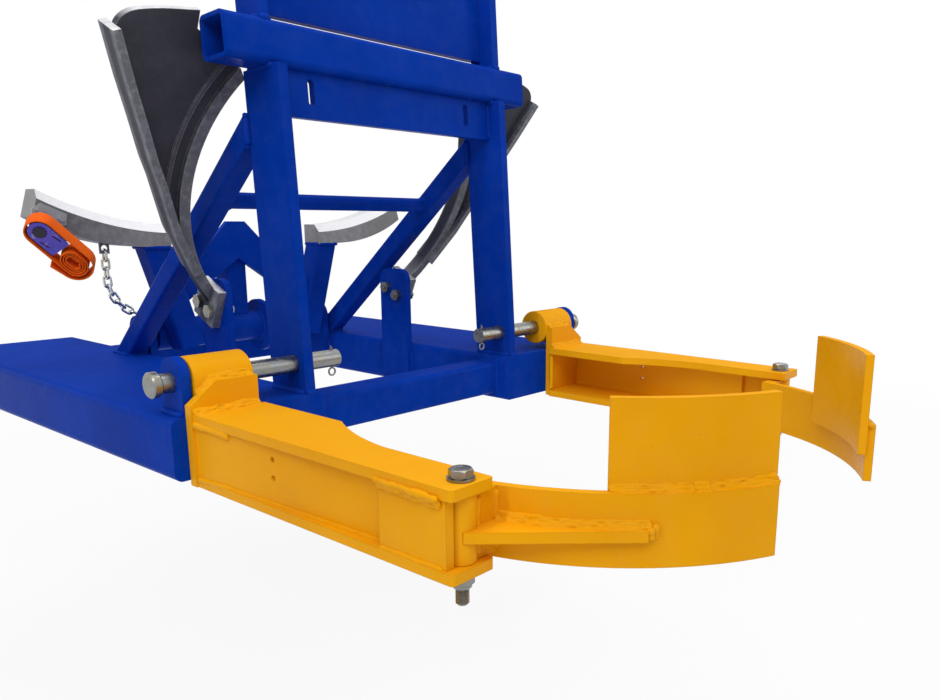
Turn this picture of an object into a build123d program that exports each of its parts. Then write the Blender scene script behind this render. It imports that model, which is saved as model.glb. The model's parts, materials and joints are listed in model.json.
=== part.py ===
"""Fork-mounted drum lifter: two fork pockets, a raked upright frame, two swing arms with hinged jaws,
a pair of cast guide wings and a tilting rear yoke with cast saddle arms, rolled strap and chain."""
import os
from math import atan2, cos, degrees, hypot, pi, radians, sin, sqrt
from build123d import *

os.makedirs("parts", exist_ok=True)

# Frame: +X across the forks, +Y toward the truck, +Z up, millimetres.
# The origin is midway between the pockets, at the level of their undersides and the front of their end plates.
SIDES = {"left": -1, "right": 1}

# Fork pockets
POCKET_IN = 171.0
POCKET_OUT = 371.0
POCKET_HEIGHT = 70.0
POCKET_LENGTH = 730.0
POCKET_WALL = 6.0
POCKET_CORNER = 9.0
CAP_THICK = 8.0

# Lateral pin through ear, arm barrel and upright
PIN_Y = 25.0
PIN_Z = 106.0
PIN_R = 11.0
PIN_END = 134.5
PIN_HEAD_IN = 369.0
PIN_HEAD_THICK = 10.0
PIN_HEAD_R = 14.5
RUN_GAP = 0.06
CLIP_X = 142.0
CLIP_HOLE_R = 2.2
CLIP_EYE_R = 4.8
CLIP_EYE_WIRE_R = 1.2
CLIP_EYE_Z = -17.4
CLIP_LEG_R = 0.85
CLIP_LEG_LOW = -12.6
CLIP_LEGS = [(-1.0, 16.5), (1.0, 15.0)]
PIN_CHAMFER = 1.5
EDGE_CHAMFER = 1.2
BOLT_GAP = 0.2
THREAD_GAP = 0.05

# Pivot ears on the pocket tops
EAR_IN = 343.0
EAR_OUT = 354.0
EAR_HALF = 22.0
EAR_ARC_Z = 112.0

# Raked uprights and what they carry, in the plane that leans back about the pin
RAKE = 3.4
POST_IN = 184.0
POST_OUT = 198.0
POST_FRONT = -20.0
POST_BACK = 50.0
POST_TOP = 352.0
POST_FOOT = -60.0
TUBE_HALF = 254.0
TUBE_FRONT = -10.0
TUBE_SIZE = 50.0
TUBE_WALL = 5.0
TUBE_CORNER = 8.0
HEAD_IN = 192.0
HEAD_OUT = 206.0
HEAD_FRONT = -4.0
HEAD_DEPTH = 44.0
HEAD_TOP = 542.0
HEAD_CORNER = 12.0
HEAD_PLATE_LOW = 414.0
HEAD_PLATE_HIGH = 520.0
HEAD_PLATE_FRONT = 20.0
HEAD_PLATE_THICK = 12.0
STRAP_PLATE_FRONT = 4.0
STRAP_PLATE_THICK = 10.0
STRAP_PLATE_LOW = 297.0
STRAP_SLOT_X = 136.0
STRAP_SLOT_W = 9.0
STRAP_SLOT_H = 31.0
STRAP_SLOT_UP = 328.5

# Diagonal braces
BRACE_IN = 176.0
BRACE_SIZE = 30.0
BRACE_WALL = 3.0
BRACE_CORNER = 4.0
BRACE_RUN_UP = 80.0
BRACE_LENGTH = 720.0
BRACE_DROP = 39.2
BRACE_Y = 76.9
BRACE_Z = 397.1
MID_TUBE_Y = 190.0
MID_TUBE_R = 11.0
MID_TUBE_WALL = 2.5
CROSS_SIZE = 50.0
CROSS_WALL = 4.0
CROSS_CORNER = 7.0
FRONT_CROSS_Y = 20.0
REAR_CROSS_Y = 600.0
CROSS_Z = 10.0

# Swing arms
BARREL_R = 27.0
BARREL_IN = 270.0
BARREL_OUT = 341.0
STOP_GAP = 0.2
BACK_THICK = 12.0
BACK_IN = 272.0
BACK_OUT = 354.0
BACK_LOW = -6.0
BACK_HIGH = 108.0
BACK_CHAMFER_X = 31.0
BACK_CHAMFER_Z = 24.0
ARM_FRONT = -402.0
ARM_OUT = 352.0
ARM_IN_REAR = 266.0
ARM_IN_FRONT = 302.0
ARM_PLATE = 10.0
ARM_ARC_REAR = -155.0
ARM_ARC_MID = (289.0, -206.0)
ARM_ARC_FRONT = -265.0
ARM_CORNER = 4.0
ARM_TOP_Z = 65.0
ARM_LOW_Z = -6.0
WEB_IN = 332.0
WEB_THICK = 8.0
WEB_SLANT = 11.0
WEB_FRONT = -326.0
WEB_HOLE_R = 3.0
WEB_HOLE_Y = -148.0
WEB_HOLE_Z = (31.0, 50.0)
SIDE_THICK = 9.0
SIDE_REAR = -310.0
SIDE_FRONT = -392.0

# Jaw hinge and jaws
HINGE_X = 325.0
HINGE_Y = -386.0
HINGE_BOLT_R = 6.0
HINGE_BARREL_R = 13.0
HINGE_PLAY = 0.4
TONGUE_W = 16.0
TONGUE_REACH = 36.0
TONGUE_DEG = 180.0
BOLT_HEAD_AF = 19.0
BOLT_HEAD_H = 7.5
WASHER_R = 12.0
WASHER_H = 2.5
NUT_H = 11.0
BOLT_END_Z = -35.0
DRUM_Y = -305.0
BAND_R_IN = 295.0
BAND_R_OUT = 304.0
BAND_LOW = -2.0
BAND_HIGH = 63.0
BAND_REAR_DEG = 76.0
BAND_TIP_DEG = 26.0
PAD_R_IN = 286.0
PAD_LOW = 30.0
PAD_HIGH = 142.0
PAD_REAR_DEG = 55.0
PAD_TIP_DEG = 25.0
GUSSET_LOW = 24.0
GUSSET_HIGH = 34.0
GUSSET_OUTLINE = [(334, -397), (235, -511.5), (224, -505), (285, -390), (334, -390)]

# Guide wings, cast arcs in a leaning plane
WING_R = 236.0
WING_Y = 173.9
WING_Z = 326.4
WING_TILT = 64.6
WING_WEB = 10.0
WING_FLANGE = 9.0
WING_FLANGE_W = 36.0
WING_RIM = 14.0
WING_RIM_W = 22.0
WING_RIB_R = 263.0
WING_RIB_T = 5.0
WING_RIB_W = 15.0
WING_FOOT_X = 12.0
WING_FOOT_V = (-206.0, -150.0)
WING_FOOT_N = 25.0
WING_OUTLINE = [(203, 158), (236, 176), (255.5, 185.5), (255.5, 206)]
WING_CROWN = [(255.5, 206), (290, 201), (318, 195), (333, 189), (341, 181), (345, 170)]
WING_EDGE = [(353, 170), (331, 114), (312, 70), (293, 24), (281, 0), (252, -67), (217, -126), (182, -179),
             (171, -198)]
WING_TOP_DEG = 126.0
STAND_THICK = 10.0
STAND_Y = (218.0, 284.0)
STAND_Z = (12.0, 198.0)
STAND_CORNER = 18.0
WING_BOLT_R = 5.0
WING_BOLT_AF = 17.0
WING_BOLT_N = 14.5
WING_BOLT_V = -184.0
WING_FLANGE_POINTS = 7
WING_CUT = 800.0
WING_BOLT_END = 12.0
WING_BOLT_HEAD = 6.4
WING_NUT_H = 8.0

# Tilting rear yoke
SHAFT_Y = 485.0
SHAFT_Z = 93.0
SHAFT_R = 12.5
SHAFT_HALF = 170.0
BRACKET_THICK = 12.0
BRACKET_Y = (452.0, 518.0)
BRACKET_Z = (12.0, 126.0)
BRACKET_CORNER = 24.0
HUB_CORE_R = 25.0
HUB_HALF = 150.0
DISC_R = 46.0
DISC_IN = 41.0
DISC_THICK = 8.0
LEG_SIZE = 40.0
LEG_WALL = 4.0
LEG_CORNER = 5.0
LEG_SPARE = 20.0
LEG_Y = 444.0
LEG_FOOT = (113.0, 76.0)
LEG_TOP = (157.0, 236.0)
STAY_THICK = 10.0
STAY_OUTER = [(150, 138), (16, 276), (-16, 276), (-150, 138)]
STAY_INNER = [(-108, 138), (0, 214), (108, 138)]
YOKE_POST = 36.0
YOKE_POST_H = 150.0
YOKE_POST_LIFT = 5.0
SADDLE_TIP = (318.0, 319.0)
SADDLE_MID = (235.0, 286.0)
SADDLE_ROOT = (138.0, 271.0)
SADDLE_W = 44.0
SADDLE_LOW = [(186.0, 238.0), (257.0, 249.0), (329.0, 281.0)]
SADDLE_BEVEL = 13.0
LUG_Z = 240.0
LUG_SIZE = (14.0, 24.0)
LUG_THICK = 3.0
LUG_HOLE_Z = 236.0
LUG_HOLE_R = 4.7

# Rolled strap, ratchet and chain on the left saddle arm
STRAP_T = 1.8
STRAP_W = 25.0
STRAP_Y = 405.5
STRAP_TURN = -45.0
STRAP_TILT = 40.0
ROLL_X = -329.5
ROLL_Z = 263.2
BUNDLE_A = 58.0
BUNDLE_HALF = 5.0
BUNDLE_R0 = 5.0
BUNDLE_PITCH = 3.2
BUNDLE_TURNS = 7
LOOP_R = 18.0
END_R = 21.5
FREE_RUN = 20.0
FREE_DEG = 190.0
RATCHET_TALL = 29.0
RATCHET_END = 34.5
RATCHET_PLATE = 1.6
RATCHET_OUT = 9.0
RATCHET_BAR = (26.0, -4.0)
RATCHET_CORNER = 3.0
TOOTH = (2.4, 2.0)
CHEEK_SLOT = (13.0, 1.8)
CHEEK_SLOTS = [(19.0, 12.0), (17.0, -6.0)]
CHEEK_SLOT_DEG = 8.0
AXLE_END_Y = 419.5
HANDLE_RIM = 2.6
HANDLE_W = 7.0
AXLE_R = 3.6
BAR_R = 2.4
WHEEL_R = 7.5
WHEEL_TEETH = 12
WHEEL_LIFT = 1.6
HANDLE_OUT = 6.5
GRIP = (27.0, 10.5)
GRIP_R = 3.6
HANGER_FRONT = 419.0
HANGER_OUTLINE = [(-330, 292), (-318, 300), (-286, 285), (-288, 270), (-312, 266), (-330, 270)]
HANGER_BOLTS = [(-321.0, 290.0), (-294.0, 278.5)]
HANGER_BOLT_AF = 8.0
HANGER_BOLT_H = 4.0
LINK_WIRE_R = 1.8
LINK_IN_LENGTH = 13.8
LINK_IN_WIDTH = 6.2
LINK_PITCH = 13.0
LINK_COUNT = 11
CHAIN_X = -230.0
CHAIN_TOP_Z = 225.6
CHAIN_BEND_Z = 192.0
CHAIN_BEND_R = 60.0
EYE_X = -157.6
EYE_Z = 132.4
EYE_SIZE = (24.0, 16.0)
EYE_SHIFT = 5.0
EYE_HOLE_R = 4.7


def write(piece, name):
    piece.part.label = name
    export_step(piece.part, f"parts/{name}.step")


def across(side, inner, outer):
    """Start and width of a span given by its distances from the centre plane."""
    return min(side * inner, side * outer), abs(outer - inner)


def flip(side, points):
    return [(side * x, y) for x, y in points]


def yz_plane(x):
    return Plane(origin=(x, 0, 0), x_dir=(0, 1, 0), z_dir=(1, 0, 0))


def xz_plane(y):
    return Plane(origin=(0, y, 0), x_dir=(1, 0, 0), z_dir=(0, -1, 0))


UP = (0, sin(radians(RAKE)), cos(radians(RAKE)))
BACK = (0, cos(radians(RAKE)), -sin(radians(RAKE)))
RAKED = Plane(origin=(0, PIN_Y, PIN_Z), x_dir=(1, 0, 0), z_dir=UP)
ABOVE_POCKET = Plane(origin=(0, 0, POCKET_HEIGHT), z_dir=(0, 0, 1))
CORNER = (Align.MIN, Align.MIN, Align.MIN)
SYMMETRIC = (Align.CENTER, Align.MIN, Align.MIN)
PIN_HOLE_R = PIN_R + RUN_GAP


def square_tube(plane, size, wall, corner, length):
    """Square hollow section along the normal of a plane."""
    with BuildPart() as tube:
        with BuildSketch(plane):
            RectangleRounded(size, size, corner)
            RectangleRounded(size - 2 * wall, size - 2 * wall, max(corner - wall, 1.0), mode=Mode.SUBTRACT)
        extrude(amount=length)
    return tube


# Fork pockets with their end plates
for name, side in SIDES.items():
    middle = side * (POCKET_IN + POCKET_OUT) / 2
    width = POCKET_OUT - POCKET_IN
    with BuildPart() as pocket:
        with BuildSketch(xz_plane(POCKET_LENGTH)):
            with Locations((middle, POCKET_HEIGHT / 2)):
                RectangleRounded(width, POCKET_HEIGHT, POCKET_CORNER)
                RectangleRounded(width - 2 * POCKET_WALL, POCKET_HEIGHT - 2 * POCKET_WALL,
                                 POCKET_CORNER - POCKET_WALL, mode=Mode.SUBTRACT)
        extrude(amount=POCKET_LENGTH - CAP_THICK)
    write(pocket, f"fork_pocket_{name}")

with BuildPart() as caps:
    with BuildSketch(xz_plane(CAP_THICK)):
        for side in SIDES.values():
            with Locations((side * (POCKET_IN + POCKET_OUT) / 2, POCKET_HEIGHT / 2)):
                RectangleRounded(POCKET_OUT - POCKET_IN, POCKET_HEIGHT, POCKET_CORNER)
    extrude(amount=CAP_THICK)
write(caps, "pocket_end_plates")

# Pivot ears
with BuildPart() as ears:
    for side in SIDES.values():
        start, width = across(side, EAR_IN, EAR_OUT)
        with BuildSketch(yz_plane(start)):
            with Locations((PIN_Y, EAR_ARC_Z)):
                Circle(EAR_HALF)
            with Locations((PIN_Y, (POCKET_HEIGHT + EAR_ARC_Z) / 2)):
                Rectangle(2 * EAR_HALF, EAR_ARC_Z - POCKET_HEIGHT)
            with Locations((PIN_Y, PIN_Z)):
                Circle(PIN_HOLE_R, mode=Mode.SUBTRACT)
        extrude(amount=width)
write(ears, "pivot_ears")

# Uprights and the braces behind them
brace_dir = (0, cos(radians(BRACE_DROP)), -sin(radians(BRACE_DROP)))
behind_post = Plane(origin=RAKED.from_local_coords((0, POST_BACK, 0)), z_dir=BACK)
for name, side in SIDES.items():
    start, width = across(side, POST_IN, POST_OUT)
    with BuildPart() as upright:
        with Locations(RAKED.location * Location((start, POST_FRONT, POST_FOOT))):
            Box(width, POST_BACK - POST_FRONT, POST_TOP - POST_FOOT, align=CORNER)
        with BuildSketch(yz_plane(start)):
            with Locations((PIN_Y, PIN_Z)):
                Circle(PIN_HOLE_R)
        extrude(amount=width, mode=Mode.SUBTRACT)
        split(bisect_by=ABOVE_POCKET, keep=Keep.TOP)
    write(upright, f"upright_{name}")

    middle = side * (BRACE_IN + BRACE_SIZE / 2)
    begin = (middle, BRACE_Y - BRACE_RUN_UP * brace_dir[1], BRACE_Z - BRACE_RUN_UP * brace_dir[2])
    with BuildPart() as brace:
        brace_axis = Plane(origin=begin, x_dir=(1, 0, 0), z_dir=brace_dir)
        add(square_tube(brace_axis, BRACE_SIZE, BRACE_WALL, BRACE_CORNER, BRACE_LENGTH).part)
        split(bisect_by=behind_post, keep=Keep.TOP)
        split(bisect_by=ABOVE_POCKET, keep=Keep.TOP)
    write(brace, f"brace_{name}")

# Cross members
tube_end = RAKED.from_local_coords((-TUBE_HALF, TUBE_FRONT + TUBE_SIZE / 2, POST_TOP + TUBE_SIZE / 2))
tube_axis = Plane(origin=tube_end, x_dir=BACK, z_dir=(1, 0, 0))
top_tube = square_tube(tube_axis, TUBE_SIZE, TUBE_WALL, TUBE_CORNER, 2 * TUBE_HALF)
write(top_tube, "top_cross_tube")

mid_tube_z = BRACE_Z - (MID_TUBE_Y - BRACE_Y) * sin(radians(BRACE_DROP)) / cos(radians(BRACE_DROP))
with BuildPart() as mid_tube:
    with BuildSketch(yz_plane(-BRACE_IN)):
        with Locations((MID_TUBE_Y, mid_tube_z)):
            Circle(MID_TUBE_R)
            Circle(MID_TUBE_R - MID_TUBE_WALL, mode=Mode.SUBTRACT)
    extrude(amount=2 * BRACE_IN)
write(mid_tube, "mid_cross_tube")

for name, front in {"front_cross_tube": FRONT_CROSS_Y, "rear_cross_tube": REAR_CROSS_Y}.items():
    centre = (-POCKET_IN, front + CROSS_SIZE / 2, CROSS_Z + CROSS_SIZE / 2)
    cross_axis = Plane(origin=centre, x_dir=(0, 1, 0), z_dir=(1, 0, 0))
    cross = square_tube(cross_axis, CROSS_SIZE, CROSS_WALL, CROSS_CORNER, 2 * POCKET_IN)
    write(cross, name)

# Head above the cross tube
with BuildPart() as head_posts:
    for side in SIDES.values():
        start, width = across(side, HEAD_IN, HEAD_OUT)
        with Locations(RAKED.location * Location((start, HEAD_FRONT, POST_TOP + TUBE_SIZE))):
            Box(width, HEAD_DEPTH, HEAD_TOP - POST_TOP - TUBE_SIZE, align=CORNER)
    fillet(head_posts.edges().filter_by(Axis.X).group_by(Axis.Z)[-1], HEAD_CORNER)
write(head_posts, "upper_uprights")

with BuildPart() as head_plate:
    with Locations(RAKED.location * Location((0, HEAD_PLATE_FRONT, HEAD_PLATE_LOW))):
        Box(2 * HEAD_IN, HEAD_PLATE_THICK, HEAD_PLATE_HIGH - HEAD_PLATE_LOW, align=SYMMETRIC)
write(head_plate, "head_plate")

# Slotted strap plate under the cross tube
strap_face = Plane(origin=RAKED.from_local_coords((0, STRAP_PLATE_FRONT, 0)), x_dir=(1, 0, 0),
                   z_dir=(0, -BACK[1], -BACK[2]))
with BuildPart() as strap_plate:
    with BuildSketch(strap_face):
        with Locations((0, (STRAP_PLATE_LOW + POST_TOP) / 2)):
            Rectangle(2 * POST_IN, POST_TOP - STRAP_PLATE_LOW)
        for side in SIDES.values():
            with Locations((side * STRAP_SLOT_X, STRAP_SLOT_UP)):
                SlotOverall(STRAP_SLOT_H, STRAP_SLOT_W, rotation=90, mode=Mode.SUBTRACT)
    extrude(amount=-STRAP_PLATE_THICK)
write(strap_plate, "strap_plate")

# Pivot pins with a round head, and the split pins that keep them
with BuildPart() as pins:
    for side in SIDES.values():
        shank, length = across(side, PIN_END, PIN_HEAD_IN)
        with BuildSketch(yz_plane(shank)):
            with Locations((PIN_Y, PIN_Z)):
                Circle(PIN_R)
        extrude(amount=length)
        head, thick = across(side, PIN_HEAD_IN, PIN_HEAD_IN + PIN_HEAD_THICK)
        with BuildSketch(yz_plane(head)):
            with Locations((PIN_Y, PIN_Z)):
                Circle(PIN_HEAD_R)
        extrude(amount=thick)
        with Locations((side * CLIP_X, PIN_Y, PIN_Z)):
            Cylinder(CLIP_HOLE_R, 3 * PIN_R, mode=Mode.SUBTRACT)
    chamfer(pins.edges().filter_by(GeomType.CIRCLE).group_by(SortBy.RADIUS)[-1], PIN_CHAMFER)
write(pins, "pivot_pins")

with BuildPart() as clips:
    for side in SIDES.values():
        eye = Location((side * CLIP_X, PIN_Y, PIN_Z + CLIP_EYE_Z), (90, 0, 0))
        with Locations(eye):
            Torus(CLIP_EYE_R, CLIP_EYE_WIRE_R)
        for shift, top in CLIP_LEGS:
            with Locations((side * CLIP_X + shift, PIN_Y, PIN_Z + CLIP_LEG_LOW)):
                Cylinder(CLIP_LEG_R, top - CLIP_LEG_LOW, align=(Align.CENTER, Align.CENTER, Align.MIN))
write(clips, "split_pins")

# Swing arms
for name, side in SIDES.items():
    start, width = across(side, BARREL_IN, BARREL_OUT)
    with BuildPart() as barrel:
        with BuildSketch(yz_plane(start)):
            with Locations((PIN_Y, PIN_Z)):
                Circle(BARREL_R)
                Circle(PIN_HOLE_R, mode=Mode.SUBTRACT)
        extrude(amount=width)
        chamfer(barrel.edges().filter_by(GeomType.CIRCLE).group_by(SortBy.RADIUS)[-1], EDGE_CHAMFER)
    write(barrel, f"arm_barrel_{name}")

    plate_outline = [(BACK_IN, BACK_LOW), (BACK_OUT, BACK_LOW), (BACK_OUT, BACK_HIGH - BACK_CHAMFER_Z),
                     (BACK_OUT - BACK_CHAMFER_X, BACK_HIGH), (BACK_IN, BACK_HIGH)]
    with BuildPart() as back_plate:
        with BuildSketch(xz_plane(-STOP_GAP)):
            with BuildLine():
                Polyline(flip(side, plate_outline), close=True)
            make_face()
        extrude(amount=BACK_THICK)
        with BuildSketch(yz_plane(min(side * BACK_IN, side * BACK_OUT) - 1)):
            with Locations((PIN_Y, PIN_Z)):
                Circle(BARREL_R)
        extrude(amount=BACK_OUT - BACK_IN + 2, mode=Mode.SUBTRACT)
    write(back_plate, f"arm_back_plate_{name}")

    rear = -STOP_GAP - BACK_THICK
    arc_front = (ARM_IN_FRONT, ARM_ARC_FRONT)
    arc_rear = (ARM_IN_REAR, ARM_ARC_REAR)
    for level, plate_name in {ARM_TOP_Z: "arm_top_plate", ARM_LOW_Z: "arm_bottom_plate"}.items():
        with BuildPart() as plate:
            with BuildSketch(Plane.XY.offset(level)) as outline:
                with BuildLine():
                    Polyline(flip(side, [arc_front, (ARM_IN_FRONT, ARM_FRONT), (ARM_OUT, ARM_FRONT),
                                         (ARM_OUT, rear), (ARM_IN_REAR, rear), arc_rear]))
                    ThreePointArc(*flip(side, [arc_rear, ARM_ARC_MID, arc_front]))
                make_face()
                fillet(outline.vertices().group_by(Axis.Y)[0], ARM_CORNER)
                with Locations((side * HINGE_X, HINGE_Y)):
                    Circle(HINGE_BOLT_R + BOLT_GAP, mode=Mode.SUBTRACT)
            extrude(amount=ARM_PLATE)
        write(plate, f"{plate_name}_{name}")

    web_low = ARM_LOW_Z + ARM_PLATE
    web_out = WEB_IN + WEB_THICK
    web_outline = [(WEB_IN, WEB_FRONT), (web_out, WEB_FRONT), (web_out, SIDE_REAR), (web_out + WEB_SLANT, rear),
                   (WEB_IN + WEB_SLANT, rear), (WEB_IN, SIDE_REAR)]
    with BuildPart() as web:
        with BuildSketch(Plane.XY.offset(web_low)):
            with BuildLine():
                Polyline(flip(side, web_outline), close=True)
            make_face()
        extrude(amount=ARM_TOP_Z - web_low)
        with BuildSketch(yz_plane(min(side * WEB_IN, side * ARM_OUT))):
            for hole_z in WEB_HOLE_Z:
                with Locations((WEB_HOLE_Y, hole_z)):
                    Circle(WEB_HOLE_R)
        extrude(amount=ARM_OUT - WEB_IN, mode=Mode.SUBTRACT)
    write(web, f"arm_web_{name}")

    start, width = across(side, WEB_IN + WEB_THICK, WEB_IN + WEB_THICK + SIDE_THICK)
    with BuildPart() as side_plate:
        with Locations((start, SIDE_FRONT, web_low)):
            Box(width, SIDE_REAR - SIDE_FRONT, ARM_TOP_Z - web_low, align=CORNER)
    write(side_plate, f"arm_side_plate_{name}")

    # Hinge bolt, washers and lock nut at the arm's front end
    arm_top = ARM_TOP_Z + ARM_PLATE
    head_z = arm_top + WASHER_H
    nut_top = ARM_LOW_Z - WASHER_H
    hinge = (side * HINGE_X, HINGE_Y)
    with BuildPart() as bolt:
        with BuildSketch(Plane.XY.offset(BOLT_END_Z)):
            with Locations(hinge):
                Circle(HINGE_BOLT_R)
        extrude(amount=head_z - BOLT_END_Z)
        chamfer(bolt.edges().group_by(Axis.Z)[0], EDGE_CHAMFER)
        with BuildSketch(Plane.XY.offset(head_z)):
            with Locations(hinge):
                RegularPolygon(BOLT_HEAD_AF / 2, 6, major_radius=False)
        extrude(amount=BOLT_HEAD_H)
    write(bolt, f"hinge_bolt_{name}")

    with BuildPart() as washers:
        for level in (arm_top, nut_top):
            with BuildSketch(Plane.XY.offset(level)):
                with Locations(hinge):
                    Circle(WASHER_R)
                    Circle(HINGE_BOLT_R + BOLT_GAP, mode=Mode.SUBTRACT)
            extrude(amount=WASHER_H)
    write(washers, f"hinge_washers_{name}")

    with BuildPart() as nut:
        with BuildSketch(Plane.XY.offset(nut_top - NUT_H)):
            with Locations(hinge):
                RegularPolygon(BOLT_HEAD_AF / 2, 6, major_radius=False)
                Circle(HINGE_BOLT_R + THREAD_GAP, mode=Mode.SUBTRACT)
        extrude(amount=NUT_H)
    write(nut, f"hinge_nut_{name}")

    # Jaw: hinge barrel, curved band, tall pad and the gusset that ties them
    with BuildPart() as jaw_barrel:
        with BuildSketch(Plane.XY.offset(web_low + HINGE_PLAY)):
            with Locations(hinge):
                Circle(HINGE_BARREL_R)
                Circle(HINGE_BOLT_R + RUN_GAP, mode=Mode.SUBTRACT)
        extrude(amount=ARM_TOP_Z - web_low - 2 * HINGE_PLAY)
        lean = TONGUE_DEG if side > 0 else 180 - TONGUE_DEG
        foot = web_low + HINGE_PLAY
        tongue = Plane(origin=(*hinge, foot), x_dir=(cos(radians(lean)), sin(radians(lean)), 0), z_dir=(0, 0, 1))
        with BuildSketch(tongue) as reach:
            Rectangle(TONGUE_REACH, TONGUE_W, align=(Align.MIN, Align.CENTER))
            Circle(HINGE_BOLT_R + RUN_GAP, mode=Mode.SUBTRACT)
        extrude(amount=BAND_HIGH - foot)
        with BuildSketch(Plane.XY.offset(foot)):
            with Locations((0, DRUM_Y)):
                Circle(BAND_R_OUT)
        extrude(amount=BAND_HIGH - foot, mode=Mode.SUBTRACT)
    write(jaw_barrel, f"jaw_barrel_{name}")

    arcs = {"jaw_band": (BAND_R_IN, BAND_R_OUT, BAND_REAR_DEG, BAND_TIP_DEG, BAND_LOW, BAND_HIGH),
            "jaw_pad": (PAD_R_IN, BAND_R_IN, PAD_REAR_DEG, PAD_TIP_DEG, PAD_LOW, PAD_HIGH)}
    for arc_name, (r_in, r_out, rear_deg, tip_deg, low, high) in arcs.items():
        def on_arc(radius, angle):
            return side * radius * sin(radians(angle)), DRUM_Y - radius * cos(radians(angle))
        mid_deg = (rear_deg + tip_deg) / 2
        with BuildPart() as curved:
            with BuildSketch(Plane.XY.offset(low)):
                with BuildLine():
                    ThreePointArc(on_arc(r_out, rear_deg), on_arc(r_out, mid_deg), on_arc(r_out, tip_deg))
                    Line(on_arc(r_out, tip_deg), on_arc(r_in, tip_deg))
                    ThreePointArc(on_arc(r_in, tip_deg), on_arc(r_in, mid_deg), on_arc(r_in, rear_deg))
                    Line(on_arc(r_in, rear_deg), on_arc(r_out, rear_deg))
                make_face()
            extrude(amount=high - low)
        write(curved, f"{arc_name}_{name}")

    with BuildPart() as gusset:
        with BuildSketch(Plane.XY.offset(GUSSET_LOW)):
            with BuildLine():
                Polyline(flip(side, GUSSET_OUTLINE), close=True)
            make_face()
            with Locations(hinge):
                Circle(HINGE_BARREL_R, mode=Mode.SUBTRACT)
            with Locations((0, DRUM_Y)):
                Circle(BAND_R_OUT, mode=Mode.SUBTRACT)
            with Locations(Location((*hinge, 0), (0, 0, lean))):
                Rectangle(TONGUE_REACH, TONGUE_W, align=(Align.MIN, Align.CENTER), mode=Mode.SUBTRACT)
        extrude(amount=GUSSET_HIGH - GUSSET_LOW)
    write(gusset, f"jaw_gusset_{name}")

# Guide wings: a cast arc with a rim, a rib and a straight outer flange, on a bolted stand
wing_n = (0, sin(radians(WING_TILT)), cos(radians(WING_TILT)))
wing_o = (0, -cos(radians(WING_TILT)), sin(radians(WING_TILT)))
WING_PLANE = Plane(origin=(0, WING_Y, WING_Z), x_dir=(1, 0, 0), z_dir=(0, -wing_n[1], -wing_n[2]))


def arc_point(radius, angle):
    """Point of the wing's circle, counted from its foot outward and up."""
    return radius * sin(radians(angle)), -radius * cos(radians(angle))


def inset(points, depth):
    """Line of points moved inward from the wing's outer edge."""
    moved = []
    for i, (u, v) in enumerate(points):
        before = points[max(i - 1, 0)]
        after = points[min(i + 1, len(points) - 1)]
        run = hypot(after[0] - before[0], after[1] - before[1])
        moved.append((u + depth * (after[1] - before[1]) / run, v - depth * (after[0] - before[0]) / run))
    return moved


foot_deg = degrees(atan2(POCKET_IN, sqrt(WING_R ** 2 - POCKET_IN ** 2)))
wing_bolt_places = []
for offset in (-WING_BOLT_N, WING_BOLT_N):
    wing_bolt_places.append((WING_Y + WING_BOLT_V * wing_o[1] + offset * wing_n[1],
                             WING_Z + WING_BOLT_V * wing_o[2] + offset * wing_n[2]))
with BuildPart() as wing:
    with BuildSketch(WING_PLANE) as outline:
        with BuildLine():
            low_end = arc_point(WING_R, foot_deg)
            top_end = arc_point(WING_R, WING_TOP_DEG)
            ThreePointArc(low_end, arc_point(WING_R, 90), top_end)
            Polyline([top_end] + WING_OUTLINE)
            Spline(WING_CROWN)
            Polyline(WING_CROWN[-1:] + WING_EDGE + [low_end])
        make_face()
    extrude(amount=WING_WEB / 2, both=True)
    with BuildSketch(WING_PLANE):
        with BuildLine():
            edge = WING_EDGE[:WING_FLANGE_POINTS]
            Polyline(edge + inset(edge, WING_FLANGE)[::-1], close=True)
        make_face()
    extrude(amount=WING_FLANGE_W / 2, both=True)
    with BuildSketch(WING_PLANE):
        with Locations((POCKET_IN, sum(WING_FOOT_V) / 2)):
            Rectangle(2 * WING_FOOT_X, WING_FOOT_V[1] - WING_FOOT_V[0])
    extrude(amount=WING_FOOT_N, both=True)
    for r_in, thick, wide in ((WING_R, WING_RIM, WING_RIM_W), (WING_RIB_R, WING_RIB_T, WING_RIB_W)):
        with BuildSketch(WING_PLANE):
            add(outline.sketch_local)
            Circle(r_in + thick, mode=Mode.INTERSECT)
            Circle(r_in, mode=Mode.SUBTRACT)
        extrude(amount=wide / 2, both=True)
    with BuildSketch(yz_plane(POCKET_IN - 1)):
        for place in wing_bolt_places:
            with Locations(place):
                Circle(WING_BOLT_R + BOLT_GAP)
    extrude(amount=WING_FOOT_X + 2, mode=Mode.SUBTRACT)
    with Locations((0, WING_Y, WING_Z)):
        Box(2 * POCKET_IN, WING_CUT, WING_CUT, mode=Mode.SUBTRACT)
write(wing, "guide_wing_right")

with BuildPart() as wing_left:
    mirror(wing.part, about=Plane.YZ)
write(wing_left, "guide_wing_left")

with BuildPart() as stands:
    for side in SIDES.values():
        start, width = across(side, POCKET_IN - STAND_THICK, POCKET_IN)
        with BuildSketch(yz_plane(start)) as outline:
            with Locations((sum(STAND_Y) / 2, sum(STAND_Z) / 2)):
                Rectangle(STAND_Y[1] - STAND_Y[0], STAND_Z[1] - STAND_Z[0])
            fillet(outline.vertices().group_by(Axis.Y)[-1], STAND_CORNER)
            for place in wing_bolt_places:
                with Locations(place):
                    Circle(WING_BOLT_R + BOLT_GAP, mode=Mode.SUBTRACT)
        extrude(amount=width)
write(stands, "wing_stands")

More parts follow.
